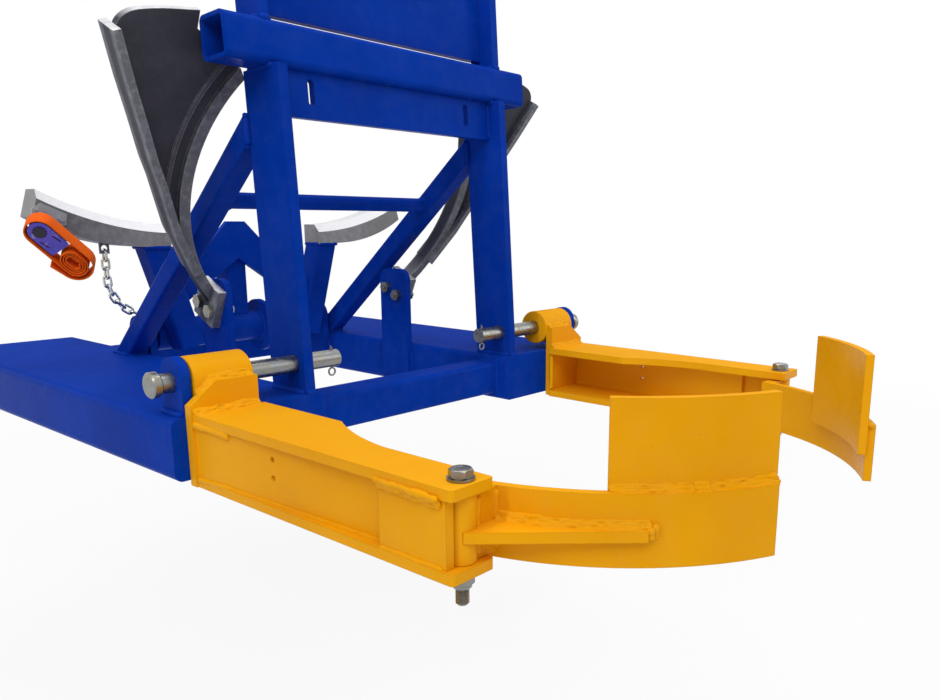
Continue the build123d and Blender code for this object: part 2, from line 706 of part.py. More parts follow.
with BuildPart() as wing_bolts:
    for side in SIDES.values():
        spans = ((POCKET_IN - STAND_THICK - WING_BOLT_END, POCKET_IN + WING_FOOT_X, WING_BOLT_R),
                 (POCKET_IN + WING_FOOT_X, POCKET_IN + WING_FOOT_X + WING_BOLT_HEAD, None))
        for inner, outer, radius in spans:
            start, width = across(side, inner, outer)
            with BuildSketch(yz_plane(start)):
                for place in wing_bolt_places:
                    with Locations(place):
                        if radius:
                            Circle(radius)
                        else:
                            RegularPolygon(WING_BOLT_AF / 2, 6, major_radius=False)
            extrude(amount=width)
        start, width = across(side, POCKET_IN - STAND_THICK - WING_NUT_H, POCKET_IN - STAND_THICK)
        with BuildSketch(yz_plane(start)):
            for place in wing_bolt_places:
                with Locations(place):
                    RegularPolygon(WING_BOLT_AF / 2, 6, major_radius=False)
                    Circle(WING_BOLT_R + THREAD_GAP, mode=Mode.SUBTRACT)
        extrude(amount=width)
write(wing_bolts, "wing_bolts")

# Rear pivot: shaft in two brackets on the pockets' inner walls
with BuildPart() as shaft:
    with BuildSketch(yz_plane(-SHAFT_HALF)):
        with Locations((SHAFT_Y, SHAFT_Z)):
            Circle(SHAFT_R)
    extrude(amount=2 * SHAFT_HALF)
write(shaft, "pivot_shaft")

with BuildPart() as brackets:
    for side in SIDES.values():
        start, width = across(side, POCKET_IN - BRACKET_THICK, POCKET_IN)
        with BuildSketch(yz_plane(start)) as outline:
            with Locations((sum(BRACKET_Y) / 2, sum(BRACKET_Z) / 2)):
                Rectangle(BRACKET_Y[1] - BRACKET_Y[0], BRACKET_Z[1] - BRACKET_Z[0])
            fillet(outline.vertices().group_by(Axis.Y)[-1], BRACKET_CORNER)
            with Locations((SHAFT_Y, SHAFT_Z)):
                Circle(SHAFT_R + RUN_GAP, mode=Mode.SUBTRACT)
        extrude(amount=width)
write(brackets, "bearing_brackets")

# Yoke: hub, legs, stay, post and cast saddle arms
with BuildPart() as hub:
    with BuildSketch(yz_plane(-HUB_HALF)):
        with Locations((SHAFT_Y, SHAFT_Z)):
            Circle(HUB_CORE_R)
    extrude(amount=2 * HUB_HALF)
    for side in SIDES.values():
        start, width = across(side, DISC_IN, DISC_IN + DISC_THICK)
        with BuildSketch(yz_plane(start)):
            with Locations((SHAFT_Y, SHAFT_Z)):
                Circle(DISC_R)
        extrude(amount=width)
    with BuildSketch(yz_plane(-HUB_HALF)):
        with Locations((SHAFT_Y, SHAFT_Z)):
            Circle(SHAFT_R + RUN_GAP)
    extrude(amount=2 * HUB_HALF, mode=Mode.SUBTRACT)
write(hub, "yoke_hub")

leg_run = hypot(LEG_TOP[0] - LEG_FOOT[0], LEG_TOP[1] - LEG_FOOT[1])
leg_level = Plane(origin=(0, 0, LEG_TOP[1]), z_dir=(0, 0, 1))
for name, side in SIDES.items():
    lean = (side * (LEG_TOP[0] - LEG_FOOT[0]) / leg_run, 0, (LEG_TOP[1] - LEG_FOOT[1]) / leg_run)
    foot = (side * LEG_FOOT[0], LEG_Y, LEG_FOOT[1])
    with BuildPart() as leg:
        leg_axis = Plane(origin=foot, x_dir=(0, 1, 0), z_dir=lean)
        add(square_tube(leg_axis, LEG_SIZE, LEG_WALL, LEG_CORNER, leg_run + LEG_SPARE).part)
        with BuildSketch(yz_plane(-HUB_HALF)):
            with Locations((SHAFT_Y, SHAFT_Z)):
                Circle(HUB_CORE_R)
        extrude(amount=2 * HUB_HALF, mode=Mode.SUBTRACT)
        split(bisect_by=leg_level, keep=Keep.BOTTOM)
        if side < 0:
            with BuildSketch(xz_plane(LEG_Y)):
                with Locations((EYE_X + EYE_SHIFT, EYE_Z)):
                    Rectangle(*EYE_SIZE)
                with Locations((EYE_X, EYE_Z)):
                    Circle(EYE_HOLE_R, mode=Mode.SUBTRACT)
            extrude(amount=LUG_THICK / 2, both=True)
    write(leg, f"yoke_leg_{name}")

stay_front = LEG_Y + LEG_SIZE / 2
with BuildPart() as stay:
    with BuildSketch(xz_plane(stay_front + STAY_THICK)):
        with BuildLine():
            Polyline(STAY_OUTER + STAY_INNER, close=True)
        make_face()
    extrude(amount=STAY_THICK)
write(stay, "yoke_stay")

post_rear = stay_front + STAY_THICK
with BuildPart() as yoke_post:
    with Locations((0, post_rear, SHAFT_Z)):
        Box(YOKE_POST, YOKE_POST, YOKE_POST_H, align=SYMMETRIC)
    with BuildSketch(yz_plane(-HUB_HALF)):
        with Locations((SHAFT_Y, SHAFT_Z)):
            Circle(HUB_CORE_R)
    extrude(amount=2 * HUB_HALF, mode=Mode.SUBTRACT)
    split(bisect_by=Plane(origin=(0, 0, SHAFT_Z + YOKE_POST_LIFT), z_dir=(0, 0, 1)), keep=Keep.TOP)
write(yoke_post, "yoke_post")

for name, side in SIDES.items():
    with BuildPart() as saddle:
        with BuildSketch(xz_plane(LEG_Y)):
            with BuildLine():
                top = flip(side, [SADDLE_TIP, SADDLE_MID, SADDLE_ROOT])
                low = flip(side, SADDLE_LOW)
                ThreePointArc(*top)
                Polyline(top[2], (side * SADDLE_ROOT[0], LEG_TOP[1]), low[0])
                ThreePointArc(*low)
                Line(low[2], top[0])
            make_face()
        extrude(amount=SADDLE_W / 2, both=True)
        front_arcs = saddle.edges().filter_by(GeomType.CIRCLE).group_by(Axis.Y)[0]
        chamfer(front_arcs.sort_by(Axis.Z)[-1], SADDLE_BEVEL)
        if side < 0:
            with BuildSketch(xz_plane(LEG_Y)):
                with Locations((CHAIN_X, LUG_Z)):
                    Rectangle(*LUG_SIZE)
                with Locations((CHAIN_X, LUG_HOLE_Z)):
                    Circle(LUG_HOLE_R, mode=Mode.SUBTRACT)
            extrude(amount=LUG_THICK / 2, both=True)
            with BuildSketch(xz_plane(LEG_Y)):
                with Locations((CHAIN_X, LUG_HOLE_Z)):
                    Circle(LUG_HOLE_R)
            extrude(amount=LUG_SIZE[0], both=True, mode=Mode.SUBTRACT)
    write(saddle, f"saddle_arm_{name}")

# Rolled strap: a small bundle of half turns, one long loop round the ratchet, and a free end
roll_long = Vector(cos(radians(STRAP_TURN)), 0, sin(radians(STRAP_TURN)))
roll_side = Vector(-sin(radians(STRAP_TURN)), 0, cos(radians(STRAP_TURN)))
roll_front = Vector(0, -1, 0) * cos(radians(STRAP_TILT)) - roll_side * sin(radians(STRAP_TILT))
roll_plane = Plane(origin=(ROLL_X, STRAP_Y, ROLL_Z), x_dir=roll_long, z_dir=roll_front)
bundle_right = BUNDLE_A + BUNDLE_HALF
bundle_left = BUNDLE_A - BUNDLE_HALF
bundle_r = BUNDLE_R0 + (BUNDLE_TURNS - 1) * BUNDLE_PITCH / 2
loop_b = LOOP_R - bundle_r
end_b = loop_b + LOOP_R - END_R


def half_turn(a, b, radius, end):
    """Half circle at the right or left end of the roll, run clockwise, as start, middle and end points."""
    return [(a, b + end * radius), (a + end * radius, b), (a, b - end * radius)]


def roll_edge(shift):
    """Half circles of one face of the strap from the bundle's heart to the last end."""
    arcs = []
    for k in range(BUNDLE_TURNS):
        end = 1 if k % 2 == 0 else -1
        middle = 0 if k % 2 == 0 else BUNDLE_PITCH / 2
        a = bundle_right if end > 0 else bundle_left
        arcs.append(half_turn(a, middle, BUNDLE_R0 + k * BUNDLE_PITCH / 2 + shift, end))
    arcs.append(half_turn(0, loop_b, LOOP_R + shift, -1))
    arcs.append(half_turn(bundle_right, end_b, END_R + shift, 1))
    return arcs


def free_end(shift):
    """End of one strap face, where it stands off the roll."""
    turn = radians(FREE_DEG)
    return bundle_right + FREE_RUN * cos(turn), end_b - END_R - shift + FREE_RUN * sin(turn)


half = STRAP_T / 2
inner_arcs = roll_edge(-half)
outer_arcs = roll_edge(half)
with BuildPart() as strap:
    with BuildSketch(roll_plane):
        with BuildLine():
            for arcs in (inner_arcs, outer_arcs):
                for k, arc in enumerate(arcs):
                    ThreePointArc(*arc)
                    if k + 1 < len(arcs):
                        Line(arc[2], arcs[k + 1][0])
            Line(inner_arcs[0][0], outer_arcs[0][0])
            Polyline(inner_arcs[-1][2], free_end(-half), free_end(half), outer_arcs[-1][2])
        make_face()
    extrude(amount=STRAP_W / 2, both=True)
write(strap, "strap_roll")

# Space between neighbouring turns, measured on points of the two faces one full turn apart
turn_gap = 1e9
for k in range(len(outer_arcs) - 2):
    for p in outer_arcs[k]:
        for q in inner_arcs[k + 2]:
            turn_gap = min(turn_gap, hypot(p[0] - q[0], p[1] - q[1]))
strap_run = sum(hypot(a[2][0] - b[0][0], a[2][1] - b[0][1]) for a, b in zip(outer_arcs, outer_arcs[1:]))
strap_run += sum(hypot(arc[2][0] - arc[0][0], arc[2][1] - arc[0][1]) * pi / 2 for arc in outer_arcs) + FREE_RUN
print(f"strap turns are {turn_gap:.2f} mm apart, strap length {strap_run:.0f} mm")


# Ratchet inside the loop: side plates with axle and wheels on a hanger, and a handle on the same axle
def ratchet_sketch(depth):
    """Plane of the roll, moved back by a depth."""
    return roll_plane.offset(-depth)


axle = (0.0, loop_b)
axle_middle = roll_plane.from_local_coords((*axle, 0.0))
axle_back = (AXLE_END_Y - axle_middle.Y) / cos(radians(STRAP_TILT))
with BuildPart() as ratchet:
    for side in SIDES.values():
        with BuildSketch(ratchet_sketch(side * RATCHET_OUT)) as cheek:
            with Locations((0, loop_b)):
                Rectangle(RATCHET_END, RATCHET_TALL, align=(Align.MIN, Align.CENTER))
                Circle(RATCHET_TALL / 2)
            fillet(cheek.vertices().group_by(Axis.X)[-1], RATCHET_CORNER)
            with Locations(*CHEEK_SLOTS):
                SlotOverall(*CHEEK_SLOT, rotation=CHEEK_SLOT_DEG, mode=Mode.SUBTRACT)
        extrude(amount=RATCHET_PLATE / 2, both=True)
        with BuildSketch(ratchet_sketch(side * (RATCHET_OUT + WHEEL_LIFT))):
            with Locations(axle):
                Circle(WHEEL_R)
                with PolarLocations(WHEEL_R, WHEEL_TEETH):
                    Rectangle(*TOOTH)
        extrude(amount=RATCHET_PLATE / 2, both=True)
    with BuildSketch(ratchet_sketch(0)):
        with Locations(RATCHET_BAR):
            Circle(BAR_R)
    extrude(amount=RATCHET_OUT, both=True)
    with BuildSketch(ratchet_sketch(axle_back)):
        with Locations(axle):
            Circle(AXLE_R)
    extrude(amount=axle_back + RATCHET_OUT)
    with BuildSketch(xz_plane(LEG_Y - SADDLE_W / 2)):
        with BuildLine():
            Polyline(HANGER_OUTLINE, close=True)
        make_face()
    extrude(amount=LEG_Y - SADDLE_W / 2 - HANGER_FRONT)
    with BuildSketch(xz_plane(HANGER_FRONT)):
        with Locations(*HANGER_BOLTS):
            RegularPolygon(HANGER_BOLT_AF / 2, 6, major_radius=False)
    extrude(amount=HANGER_BOLT_H)
write(ratchet, "ratchet_frame")

grip_angle = degrees(atan2(GRIP[1] - axle[1], GRIP[0] - axle[0]))
with BuildPart() as handle:
    for side in SIDES.values():
        with BuildSketch(ratchet_sketch(side * HANDLE_OUT)):
            with Locations(axle):
                Circle(AXLE_R + HANDLE_RIM)
            with Locations(((axle[0] + GRIP[0]) / 2, (axle[1] + GRIP[1]) / 2)):
                Rectangle(hypot(GRIP[0] - axle[0], GRIP[1] - axle[1]), HANDLE_W, rotation=grip_angle)
            with Locations(axle):
                Circle(AXLE_R + RUN_GAP, mode=Mode.SUBTRACT)
        extrude(amount=RATCHET_PLATE / 2, both=True)
    with BuildSketch(ratchet_sketch(0)):
        with Locations(GRIP):
            Circle(GRIP_R)
    extrude(amount=HANDLE_OUT + RATCHET_PLATE / 2, both=True)
write(handle, "ratchet_handle")

# Slack chain of plain links from the arm's lug to the leg's eye, turned a quarter from one to the next
link_r = LINK_IN_WIDTH / 2 + LINK_WIRE_R
link_half = LINK_IN_LENGTH / 2 - LINK_IN_WIDTH / 2


def on_chain(run):
    """Point and heading of the chain's line: down from the lug, then round a bend toward the leg."""
    straight = CHAIN_TOP_Z - CHAIN_BEND_Z
    if run < straight:
        return (CHAIN_X, CHAIN_TOP_Z - run), (0.0, -1.0)
    turn = (run - straight) / CHAIN_BEND_R
    place = (CHAIN_X + CHAIN_BEND_R * (1 - cos(turn)), CHAIN_BEND_Z - CHAIN_BEND_R * sin(turn))
    return place, (sin(turn), -cos(turn))


with BuildPart() as chain:
    for k in range(LINK_COUNT):
        place, heading = on_chain(k * LINK_PITCH)
        wide = (0, 1, 0) if k % 2 == 0 else (-heading[1], 0, heading[0])
        along = (heading[0], 0, heading[1])
        face = Vector(*wide).cross(Vector(*along))
        flat = Plane(origin=(place[0], LEG_Y, place[1]), x_dir=wide, z_dir=face)
        with BuildLine(flat) as oval:
            Line((link_r, -link_half), (link_r, link_half))
            ThreePointArc((link_r, link_half), (0, link_half + link_r), (-link_r, link_half))
            Line((-link_r, link_half), (-link_r, -link_half))
            ThreePointArc((-link_r, -link_half), (0, -link_half - link_r), (link_r, -link_half))
        with BuildSketch(Plane(origin=oval.line @ 0, z_dir=oval.line % 0)):
            Circle(LINK_WIRE_R)
        sweep(path=oval.line)
write(chain, "hang_chain")

# Figures for the record's joints
chord = Vector(EYE_X - CHAIN_X, 0, EYE_Z - LUG_HOLE_Z).normalized()
print("ratchet axle", axle_middle, "along", roll_front, "chain axis", tuple(round(c, 4) for c in chord))
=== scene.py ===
"""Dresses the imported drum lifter: paint, castings, welds, fasteners, wound strap and a white studio."""
import json
import math
import random
from collections import namedtuple

import bpy
from bpy.props import FloatProperty, FloatVectorProperty, PointerProperty
from mathutils import Matrix, Vector


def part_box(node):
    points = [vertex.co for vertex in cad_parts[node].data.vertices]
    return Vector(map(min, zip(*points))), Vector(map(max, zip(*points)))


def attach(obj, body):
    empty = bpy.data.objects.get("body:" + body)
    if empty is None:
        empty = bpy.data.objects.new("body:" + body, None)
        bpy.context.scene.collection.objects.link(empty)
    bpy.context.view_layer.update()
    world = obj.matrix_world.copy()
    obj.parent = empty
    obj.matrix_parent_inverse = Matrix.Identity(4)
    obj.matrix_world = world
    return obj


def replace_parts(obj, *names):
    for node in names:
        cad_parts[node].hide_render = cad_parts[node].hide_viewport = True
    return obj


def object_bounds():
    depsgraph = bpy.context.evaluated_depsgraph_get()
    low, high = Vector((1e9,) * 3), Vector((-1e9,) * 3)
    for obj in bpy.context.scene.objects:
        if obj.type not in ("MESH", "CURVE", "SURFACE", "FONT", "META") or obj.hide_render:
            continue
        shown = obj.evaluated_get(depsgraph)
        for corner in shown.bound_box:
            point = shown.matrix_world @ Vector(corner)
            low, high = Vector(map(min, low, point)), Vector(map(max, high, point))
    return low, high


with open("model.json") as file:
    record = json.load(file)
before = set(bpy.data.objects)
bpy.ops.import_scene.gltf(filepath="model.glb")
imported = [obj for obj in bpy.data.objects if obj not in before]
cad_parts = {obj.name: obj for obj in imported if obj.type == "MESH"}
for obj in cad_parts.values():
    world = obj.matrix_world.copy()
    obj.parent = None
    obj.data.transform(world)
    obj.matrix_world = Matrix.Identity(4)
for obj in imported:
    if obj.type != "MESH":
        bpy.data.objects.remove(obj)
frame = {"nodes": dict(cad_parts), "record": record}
NODES = frame["nodes"]
CAD_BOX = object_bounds()

bl_info = {
    "name": "Drum Lifter Dressing",
    "version": (1, 0, 0),
    "blender": (4, 5, 0),
    "location": "View3D > Sidebar > Lifter",
    "description": "Finishes, welds, fasteners, strap and studio for a fork-mounted drum lifter",
    "category": "Object",
}

SIDES = {"left": -1, "right": 1}
SEED_SIZE = 0.001
MERGE_GAP = 0.00002
FULL_TURN = 2 * math.pi

# Places that the frame's boxes give
PIN_LOW, PIN_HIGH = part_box("pivot_pins")
PIN_Y = (PIN_LOW.y + PIN_HIGH.y) / 2
PIN_Z = (PIN_LOW.z + PIN_HIGH.z) / 2
POCKET_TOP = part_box("fork_pocket_left")[1].z
POCKET_SEAM = POCKET_TOP + 0.001
HINGE_LOW, HINGE_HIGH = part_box("hinge_nut_left")
HINGE_X = -(HINGE_LOW.x + HINGE_HIGH.x) / 2
HINGE_Y = (HINGE_LOW.y + HINGE_HIGH.y) / 2

# The raked plane leans about the pivot pin; places in it are how far out, back or up
RAKE = math.radians(3.4)
POST_HEAD = 0.351
POST_HEAD_DEPTH = (-0.010, 0.040)
TUBE_TOP = 0.4025
UPPER_POST = (0.192, 0.206)
UPPER_POST_DEPTH = (-0.004, 0.036)
STRAP_PLATE_END = 0.1835
STRAP_PLATE_EDGES = (0.298, 0.349)
BRACE_SIDES = (0.1812, 0.2008)
BRACE_SPAN = (0.178, 0.204)
BRACE_HEAD = (0.265, 0.301)

# Places and sizes of the solids that no box gives
DRUM_Y = -0.305
BAND_R = 0.304
PAD_R = 0.295
POST_FOOT = 0.070
BRACE_SLOPE = math.radians(39.2)
BRACE_TUBE = 0.030
POCKET_CORNER = 0.012
EAR_INNER = 0.343
BARREL_SHOULDER = 0.322
JAW_CORNER = 0.291
HUB_DISC_FACES = (0.041, 0.049)
HUB_R = 0.0255
YOKE_LEG_WIDTH = 0.040
WING_TILT = math.radians(64.6)
WING_Y = 0.1739
WING_Z = 0.3264

# Chamfers of bolt heads and nuts: toward the plates, and away from them
CHAMFER = 0.0012
CROWN = 0.0016

# Seeds of the welds' roughness
SEEDS = {"frame": 11, "arm": 23, "jaw": 41, "yoke": 61}

# Turns of the strap
STRAP_HALF_TURNS = 7
STRAP_ARC_STEPS = 14
STRAP_STEP = 0.006
STRAP_END_TURN = math.radians(190.0)
STRAP_SLIP_TURN = 0.045

# Studio; each lamp has its place, its size and the setting that holds its power
FLOOR_SIZE = 60.0
SENSOR_WIDTH = 36.0
LENS_SHIFT = (-0.0789, 0.0439)
FAR_CLIP = 200.0
LAMPS = {
    "key_lamp": ((-1.5, -1.9, 2.3), (1.6, 1.6), "key"),
    "top_lamp": ((0.3, 0.3, 2.6), (2.4, 2.4), "top"),
    "fill_lamp": ((1.9, -1.6, 1.0), (1.4, 1.4), "fill"),
    "strip_lamp": ((-2.2, -0.2, 1.9), (0.10, 1.6), "strip"),
}


class FinishSettings(bpy.types.PropertyGroup):
    """Colours of the lifter's finishes, as scene-linear values."""
    blue: FloatVectorProperty(name="Blue paint", description="Frame and yoke", subtype="COLOR",
                              default=(0.001, 0.038, 0.37), min=0, max=1)
    blue_deep: FloatVectorProperty(name="Deep blue", description="Darker tone within the blue",
                                   subtype="COLOR", default=(0.001, 0.030, 0.30), min=0, max=1)
    yellow: FloatVectorProperty(name="Yellow paint", description="Arms and jaws", subtype="COLOR",
                                default=(0.86, 0.385, 0.003), min=0, max=1)
    yellow_deep: FloatVectorProperty(name="Deep yellow", description="Darker tone within the yellow",
                                     subtype="COLOR", default=(0.78, 0.335, 0.002), min=0, max=1)
    # The wing's web colour is painted shade. The bright casting colour is the saddles' metal, and it is also
    # painted light on upward faces and on the wing's sharp edges.
    skin: FloatVectorProperty(name="Shaded web", description="Painted shade on the wings' web",
                              subtype="COLOR", default=(0.026, 0.027, 0.040), min=0, max=1)
    bright: FloatVectorProperty(name="Bright casting", description="Saddle casting, and painted light on upward faces and wing edges",
                                subtype="COLOR", default=(0.66, 0.66, 0.68), min=0, max=1)
    zinc: FloatVectorProperty(name="Zinc", description="Pins, bolts, nuts and clips", subtype="COLOR",
                              default=(0.28, 0.28, 0.275), min=0, max=1)
    orange: FloatVectorProperty(name="Webbing", description="Strap", subtype="COLOR",
                                default=(1.0, 0.15, 0.012), min=0, max=1)
    plate: FloatVectorProperty(name="Ratchet plate", description="Tinted plating of the ratchet",
                               subtype="COLOR", default=(0.11, 0.065, 0.38), min=0, max=1)


class WeldSettings(bpy.types.PropertyGroup):
    """Sizes of the weld beads."""
    medium: FloatProperty(name="Medium bead", description="Radius of the usual beads",
                          default=0.0048, unit="LENGTH")
    light: FloatProperty(name="Light bead", description="Radius of the thin beads",
                         default=0.0034, unit="LENGTH")
    step: FloatProperty(name="Ripple", description="Distance from ripple to ripple",
                        default=0.005, unit="LENGTH")
    lump: FloatProperty(name="Lumps", description="Height of the lumps", default=0.0015, unit="LENGTH")
    leg: FloatProperty(name="Leg", description="How far a broad fillet reaches up each plate",
                       default=0.0066, unit="LENGTH")


class FastenerSettings(bpy.types.PropertyGroup):
    """Sizes of the hinge bolts and nuts."""
    shank: FloatProperty(name="Shank", description="Radius of the bolt", default=0.006, unit="LENGTH")
    across: FloatProperty(name="Across flats", description="Width of head and nut",
                          default=0.019, unit="LENGTH")
    pitch: FloatProperty(name="Pitch", description="Thread pitch", default=0.00175, unit="LENGTH")
    depth: FloatProperty(name="Thread depth", description="Depth of the thread",
                         default=0.0010, unit="LENGTH")


class StrapSettings(bpy.types.PropertyGroup):
    """Sizes of the wound strap."""
    thick: FloatProperty(name="Thickness", description="Thickness of the webbing",
                         default=0.0018, unit="LENGTH")
    width: FloatProperty(name="Width", description="Width of the webbing", default=0.025, unit="LENGTH")
    bundle: FloatProperty(name="Bundle", description="Place of the bundle along the roll", default=0.058,
                          unit="LENGTH")
    half: FloatProperty(name="Half length", description="Half of the bundle's straight",
                        default=0.005, unit="LENGTH")
    radius: FloatProperty(name="First radius", description="Radius of the first half turn",
                          default=0.005, unit="LENGTH")
    pitch: FloatProperty(name="Pitch", description="Growth of the bundle in a turn",
                         default=0.0032, unit="LENGTH")
    loop: FloatProperty(name="Loop", description="Radius round the ratchet", default=0.018, unit="LENGTH")
    end: FloatProperty(name="End", description="Radius of the last half turn",
                       default=0.0215, unit="LENGTH")
    free: FloatProperty(name="Free end", description="Length of the free end", default=0.020, unit="LENGTH")
    centre: FloatVectorProperty(name="Centre", description="Middle of the loop round the ratchet",
                                subtype="TRANSLATION", default=(-0.3295, 0.4055, 0.2632))
    slope: FloatProperty(name="Slope", description="Slope of the roll's long axis",
                         default=math.radians(-45.0), subtype="ANGLE")
    tilt: FloatProperty(name="Tilt", description="Lean of the roll about its long axis",
                        default=math.radians(40.0), subtype="ANGLE")
    fan: FloatProperty(name="Fan", description="How far the turns slip sideways",
                       default=0.0008, unit="LENGTH")


class StageSettings(bpy.types.PropertyGroup):
    """Camera, lamps and floor."""
    floor: FloatProperty(name="Floor", description="Height of the floor", default=-0.42, unit="LENGTH")
    eye: FloatVectorProperty(name="Camera", description="Place of the camera", subtype="TRANSLATION",
                             default=(-0.7777, -0.8323, 0.2831))
    yaw: FloatProperty(name="Yaw", description="Turn of the camera to the right",
                       default=math.radians(51.45), subtype="ANGLE")
    pitch: FloatProperty(name="Pitch", description="Tilt of the camera down", default=math.radians(11.96),
                         subtype="ANGLE")
    roll: FloatProperty(name="Roll", description="Roll of the camera",
                        default=math.radians(0.48), subtype="ANGLE")
    lens: FloatProperty(name="Lens", description="Focal length in millimetres", default=31.05)
    key: FloatProperty(name="Key", description="Power of the key lamp", default=33.0, unit="POWER")
    top: FloatProperty(name="Top", description="Power of the top lamp", default=35.0, unit="POWER")
    fill: FloatProperty(name="Fill", description="Power of the fill lamp", default=10.0, unit="POWER")
    strip: FloatProperty(name="Strip", description="Power of the narrow lamp", default=15.0, unit="POWER")
    sky: FloatProperty(name="Sky", description="Strength of the even light from all round", default=0.42)


class LifterSettings(bpy.types.PropertyGroup):
    """All settings of the lifter's dressing."""
    finish: PointerProperty(type=FinishSettings)
    weld: PointerProperty(type=WeldSettings)
    fastener: PointerProperty(type=FastenerSettings)
    strap: PointerProperty(type=StrapSettings)
    stage: PointerProperty(type=StageSettings)


class Value:
    """A shader socket that takes part in arithmetic."""

    def __init__(self, finish, socket):
        self.finish = finish
        self.socket = socket

    def math(self, operation, *values):
        return self.finish.node("ShaderNodeMath", {"operation": operation}, dict(enumerate(values)))

    def __add__(self, other):
        return self.math("ADD", self, other)

    def __sub__(self, other):
        return self.math("SUBTRACT", self, other)

    def __rsub__(self, other):
        return self.math("SUBTRACT", other, self)

    def __mul__(self, other):
        return self.math("MULTIPLY", self, other)

    def __gt__(self, other):
        return self.math("GREATER_THAN", self, other)

    def __abs__(self):
        return self.math("ABSOLUTE", self)

    __radd__ = __add__

    def sine(self):
        return self.math("SINE", self)

    def most(self, other):
        return self.math("MAXIMUM", self, other)


class Finish:
    """A material, or the world, whose nodes are being put together."""

    def __init__(self, holder):
        holder.use_nodes = True
        self.tree = holder.node_tree
        self.tree.nodes.clear()

    def node(self, kind, settings=None, inputs=None, output=0):
        """Adds a node with its settings and the values or links of its sockets, and gives one output."""
        new = self.tree.nodes.new(kind)
        for key, value in (settings or {}).items():
            if key == "stops":
                for i, (place, shade) in enumerate(value):
                    stop = new.color_ramp.elements[i] if i < 2 else new.color_ramp.elements.new(place)
                    stop.position = place
                    stop.color = (shade, shade, shade, 1)
            else:
                setattr(new, key, value)
        for key, value in (inputs or {}).items():
            if isinstance(value, Value):
                self.tree.links.new(value.socket, new.inputs[key])
            else:
                new.inputs[key].default_value = value
        return Value(self, new.outputs[output]) if new.outputs else None

    def place(self, output="Object"):
        return self.node("ShaderNodeTexCoord", output=output)

    def noise(self, at, scale, detail=2.0, rough=0.5, stretch=None):
        if stretch:
            at = self.vector("MULTIPLY", at, stretch)
        inputs = {"Vector": at, "Scale": scale, "Detail": detail, "Roughness": rough}
        return self.node("ShaderNodeTexNoise", {}, inputs)

    def ramp(self, value, *stops):
        return self.node("ShaderNodeValToRGB", {"stops": stops}, {"Fac": value})

    def mix(self, part, first, second):
        """Colour that goes from the first to the second as part goes from 0 to 1."""
        colours = {0: part, 6: opaque(first), 7: opaque(second)}
        return self.node("ShaderNodeMix", {"data_type": "RGBA"}, colours, output=2)

    def bump(self, height, distance, strength=1.0, normal=None):
        inputs = {"Height": height, "Distance": distance, "Strength": strength}
        if normal:
            inputs["Normal"] = normal
        return self.node("ShaderNodeBump", {}, inputs)

    def vector(self, operation, *values, output=0):
        """Vector arithmetic; output 1 is the result of the operations that give a plain number."""
        return self.node("ShaderNodeVectorMath", {"operation": operation}, dict(enumerate(values)), output)

    def along(self, at, direction):
        """How far a place lies along a direction."""
        return self.vector("DOT_PRODUCT", at, direction, output=1)

    def axis(self, at, name):
        return self.node("ShaderNodeSeparateXYZ", {}, {0: at}, output=name)

    def sharp(self, radius):
        """How near a sharp edge a place is, from 0 to 1."""
        softened = self.node("ShaderNodeBevel", {"samples": 4}, {"Radius": radius})
        plain = self.node("ShaderNodeNewGeometry", output="Normal")
        return self.ramp(1 - self.along(softened, plain), (0.01, 0.0), (0.16, 1.0))

    def surface(self, **sockets):
        """Ends the material in a surface shader; the keywords are its sockets, with spaces as underscores."""
        inputs = {key.replace("_", " "): value for key, value in sockets.items()}
        shader = self.node("ShaderNodeBsdfPrincipled", {}, inputs)
        self.node("ShaderNodeOutputMaterial", {}, {"Surface": shader})


def opaque(colour):
    """A colour with its alpha, or a link as it is."""
    return colour if isinstance(colour, Value) else tuple(colour) + (1.0,)


# Finishes
def gloss_paint(name, colour, deep, gloss, shine):
    """Powder coat with a slow change of tone, orange peel, dust and a few chips."""
    f = Finish(bpy.data.materials.new(name))
    at = f.place()
    tone = f.ramp(f.noise(at, 7.0, 3.0), (0.32, 0.0), (0.68, 1.0))
    cloud = f.ramp(f.noise(at, 42.0, 5.0, 0.6), (0.40, 0.0), (0.72, 1.0))
    chip = f.ramp(f.noise(at, 190.0, 3.0, 0.55), (0.742, 0.0), (0.752, 1.0))
    sparse = f.ramp(f.noise(at, 11.0, 2.0), (0.56, 0.0), (0.62, 1.0))
    worn = chip * sparse
    coat = f.mix(tone, deep, colour)
    dusty = f.mix(cloud * 0.012, coat, (0.50, 0.50, 0.50))
    base = f.mix(worn, dusty, (0.10, 0.085, 0.075))
    peel = f.noise(at, 330.0, 2.0)
    wave = f.noise(at, 26.0, 2.0)
    edge = f.node("ShaderNodeBevel", {"samples": 3}, {"Radius": 0.0014})
    rounding = f.bump(wave, 0.0009, 0.5, edge)
    pitting = f.bump(peel, 0.00016, 0.5, rounding)
    normal = f.bump(1 - worn, 0.0002, 0.6, pitting)
    level = f.ramp(f.axis(f.place("Normal"), "Z"), (0.60, 0.0), (0.95, 1.0))
    rough = gloss + cloud * 0.12 + worn * 0.3 + level * 0.38
    f.surface(Base_Color=base, Roughness=rough, Normal=normal, Specular_IOR_Level=shine)


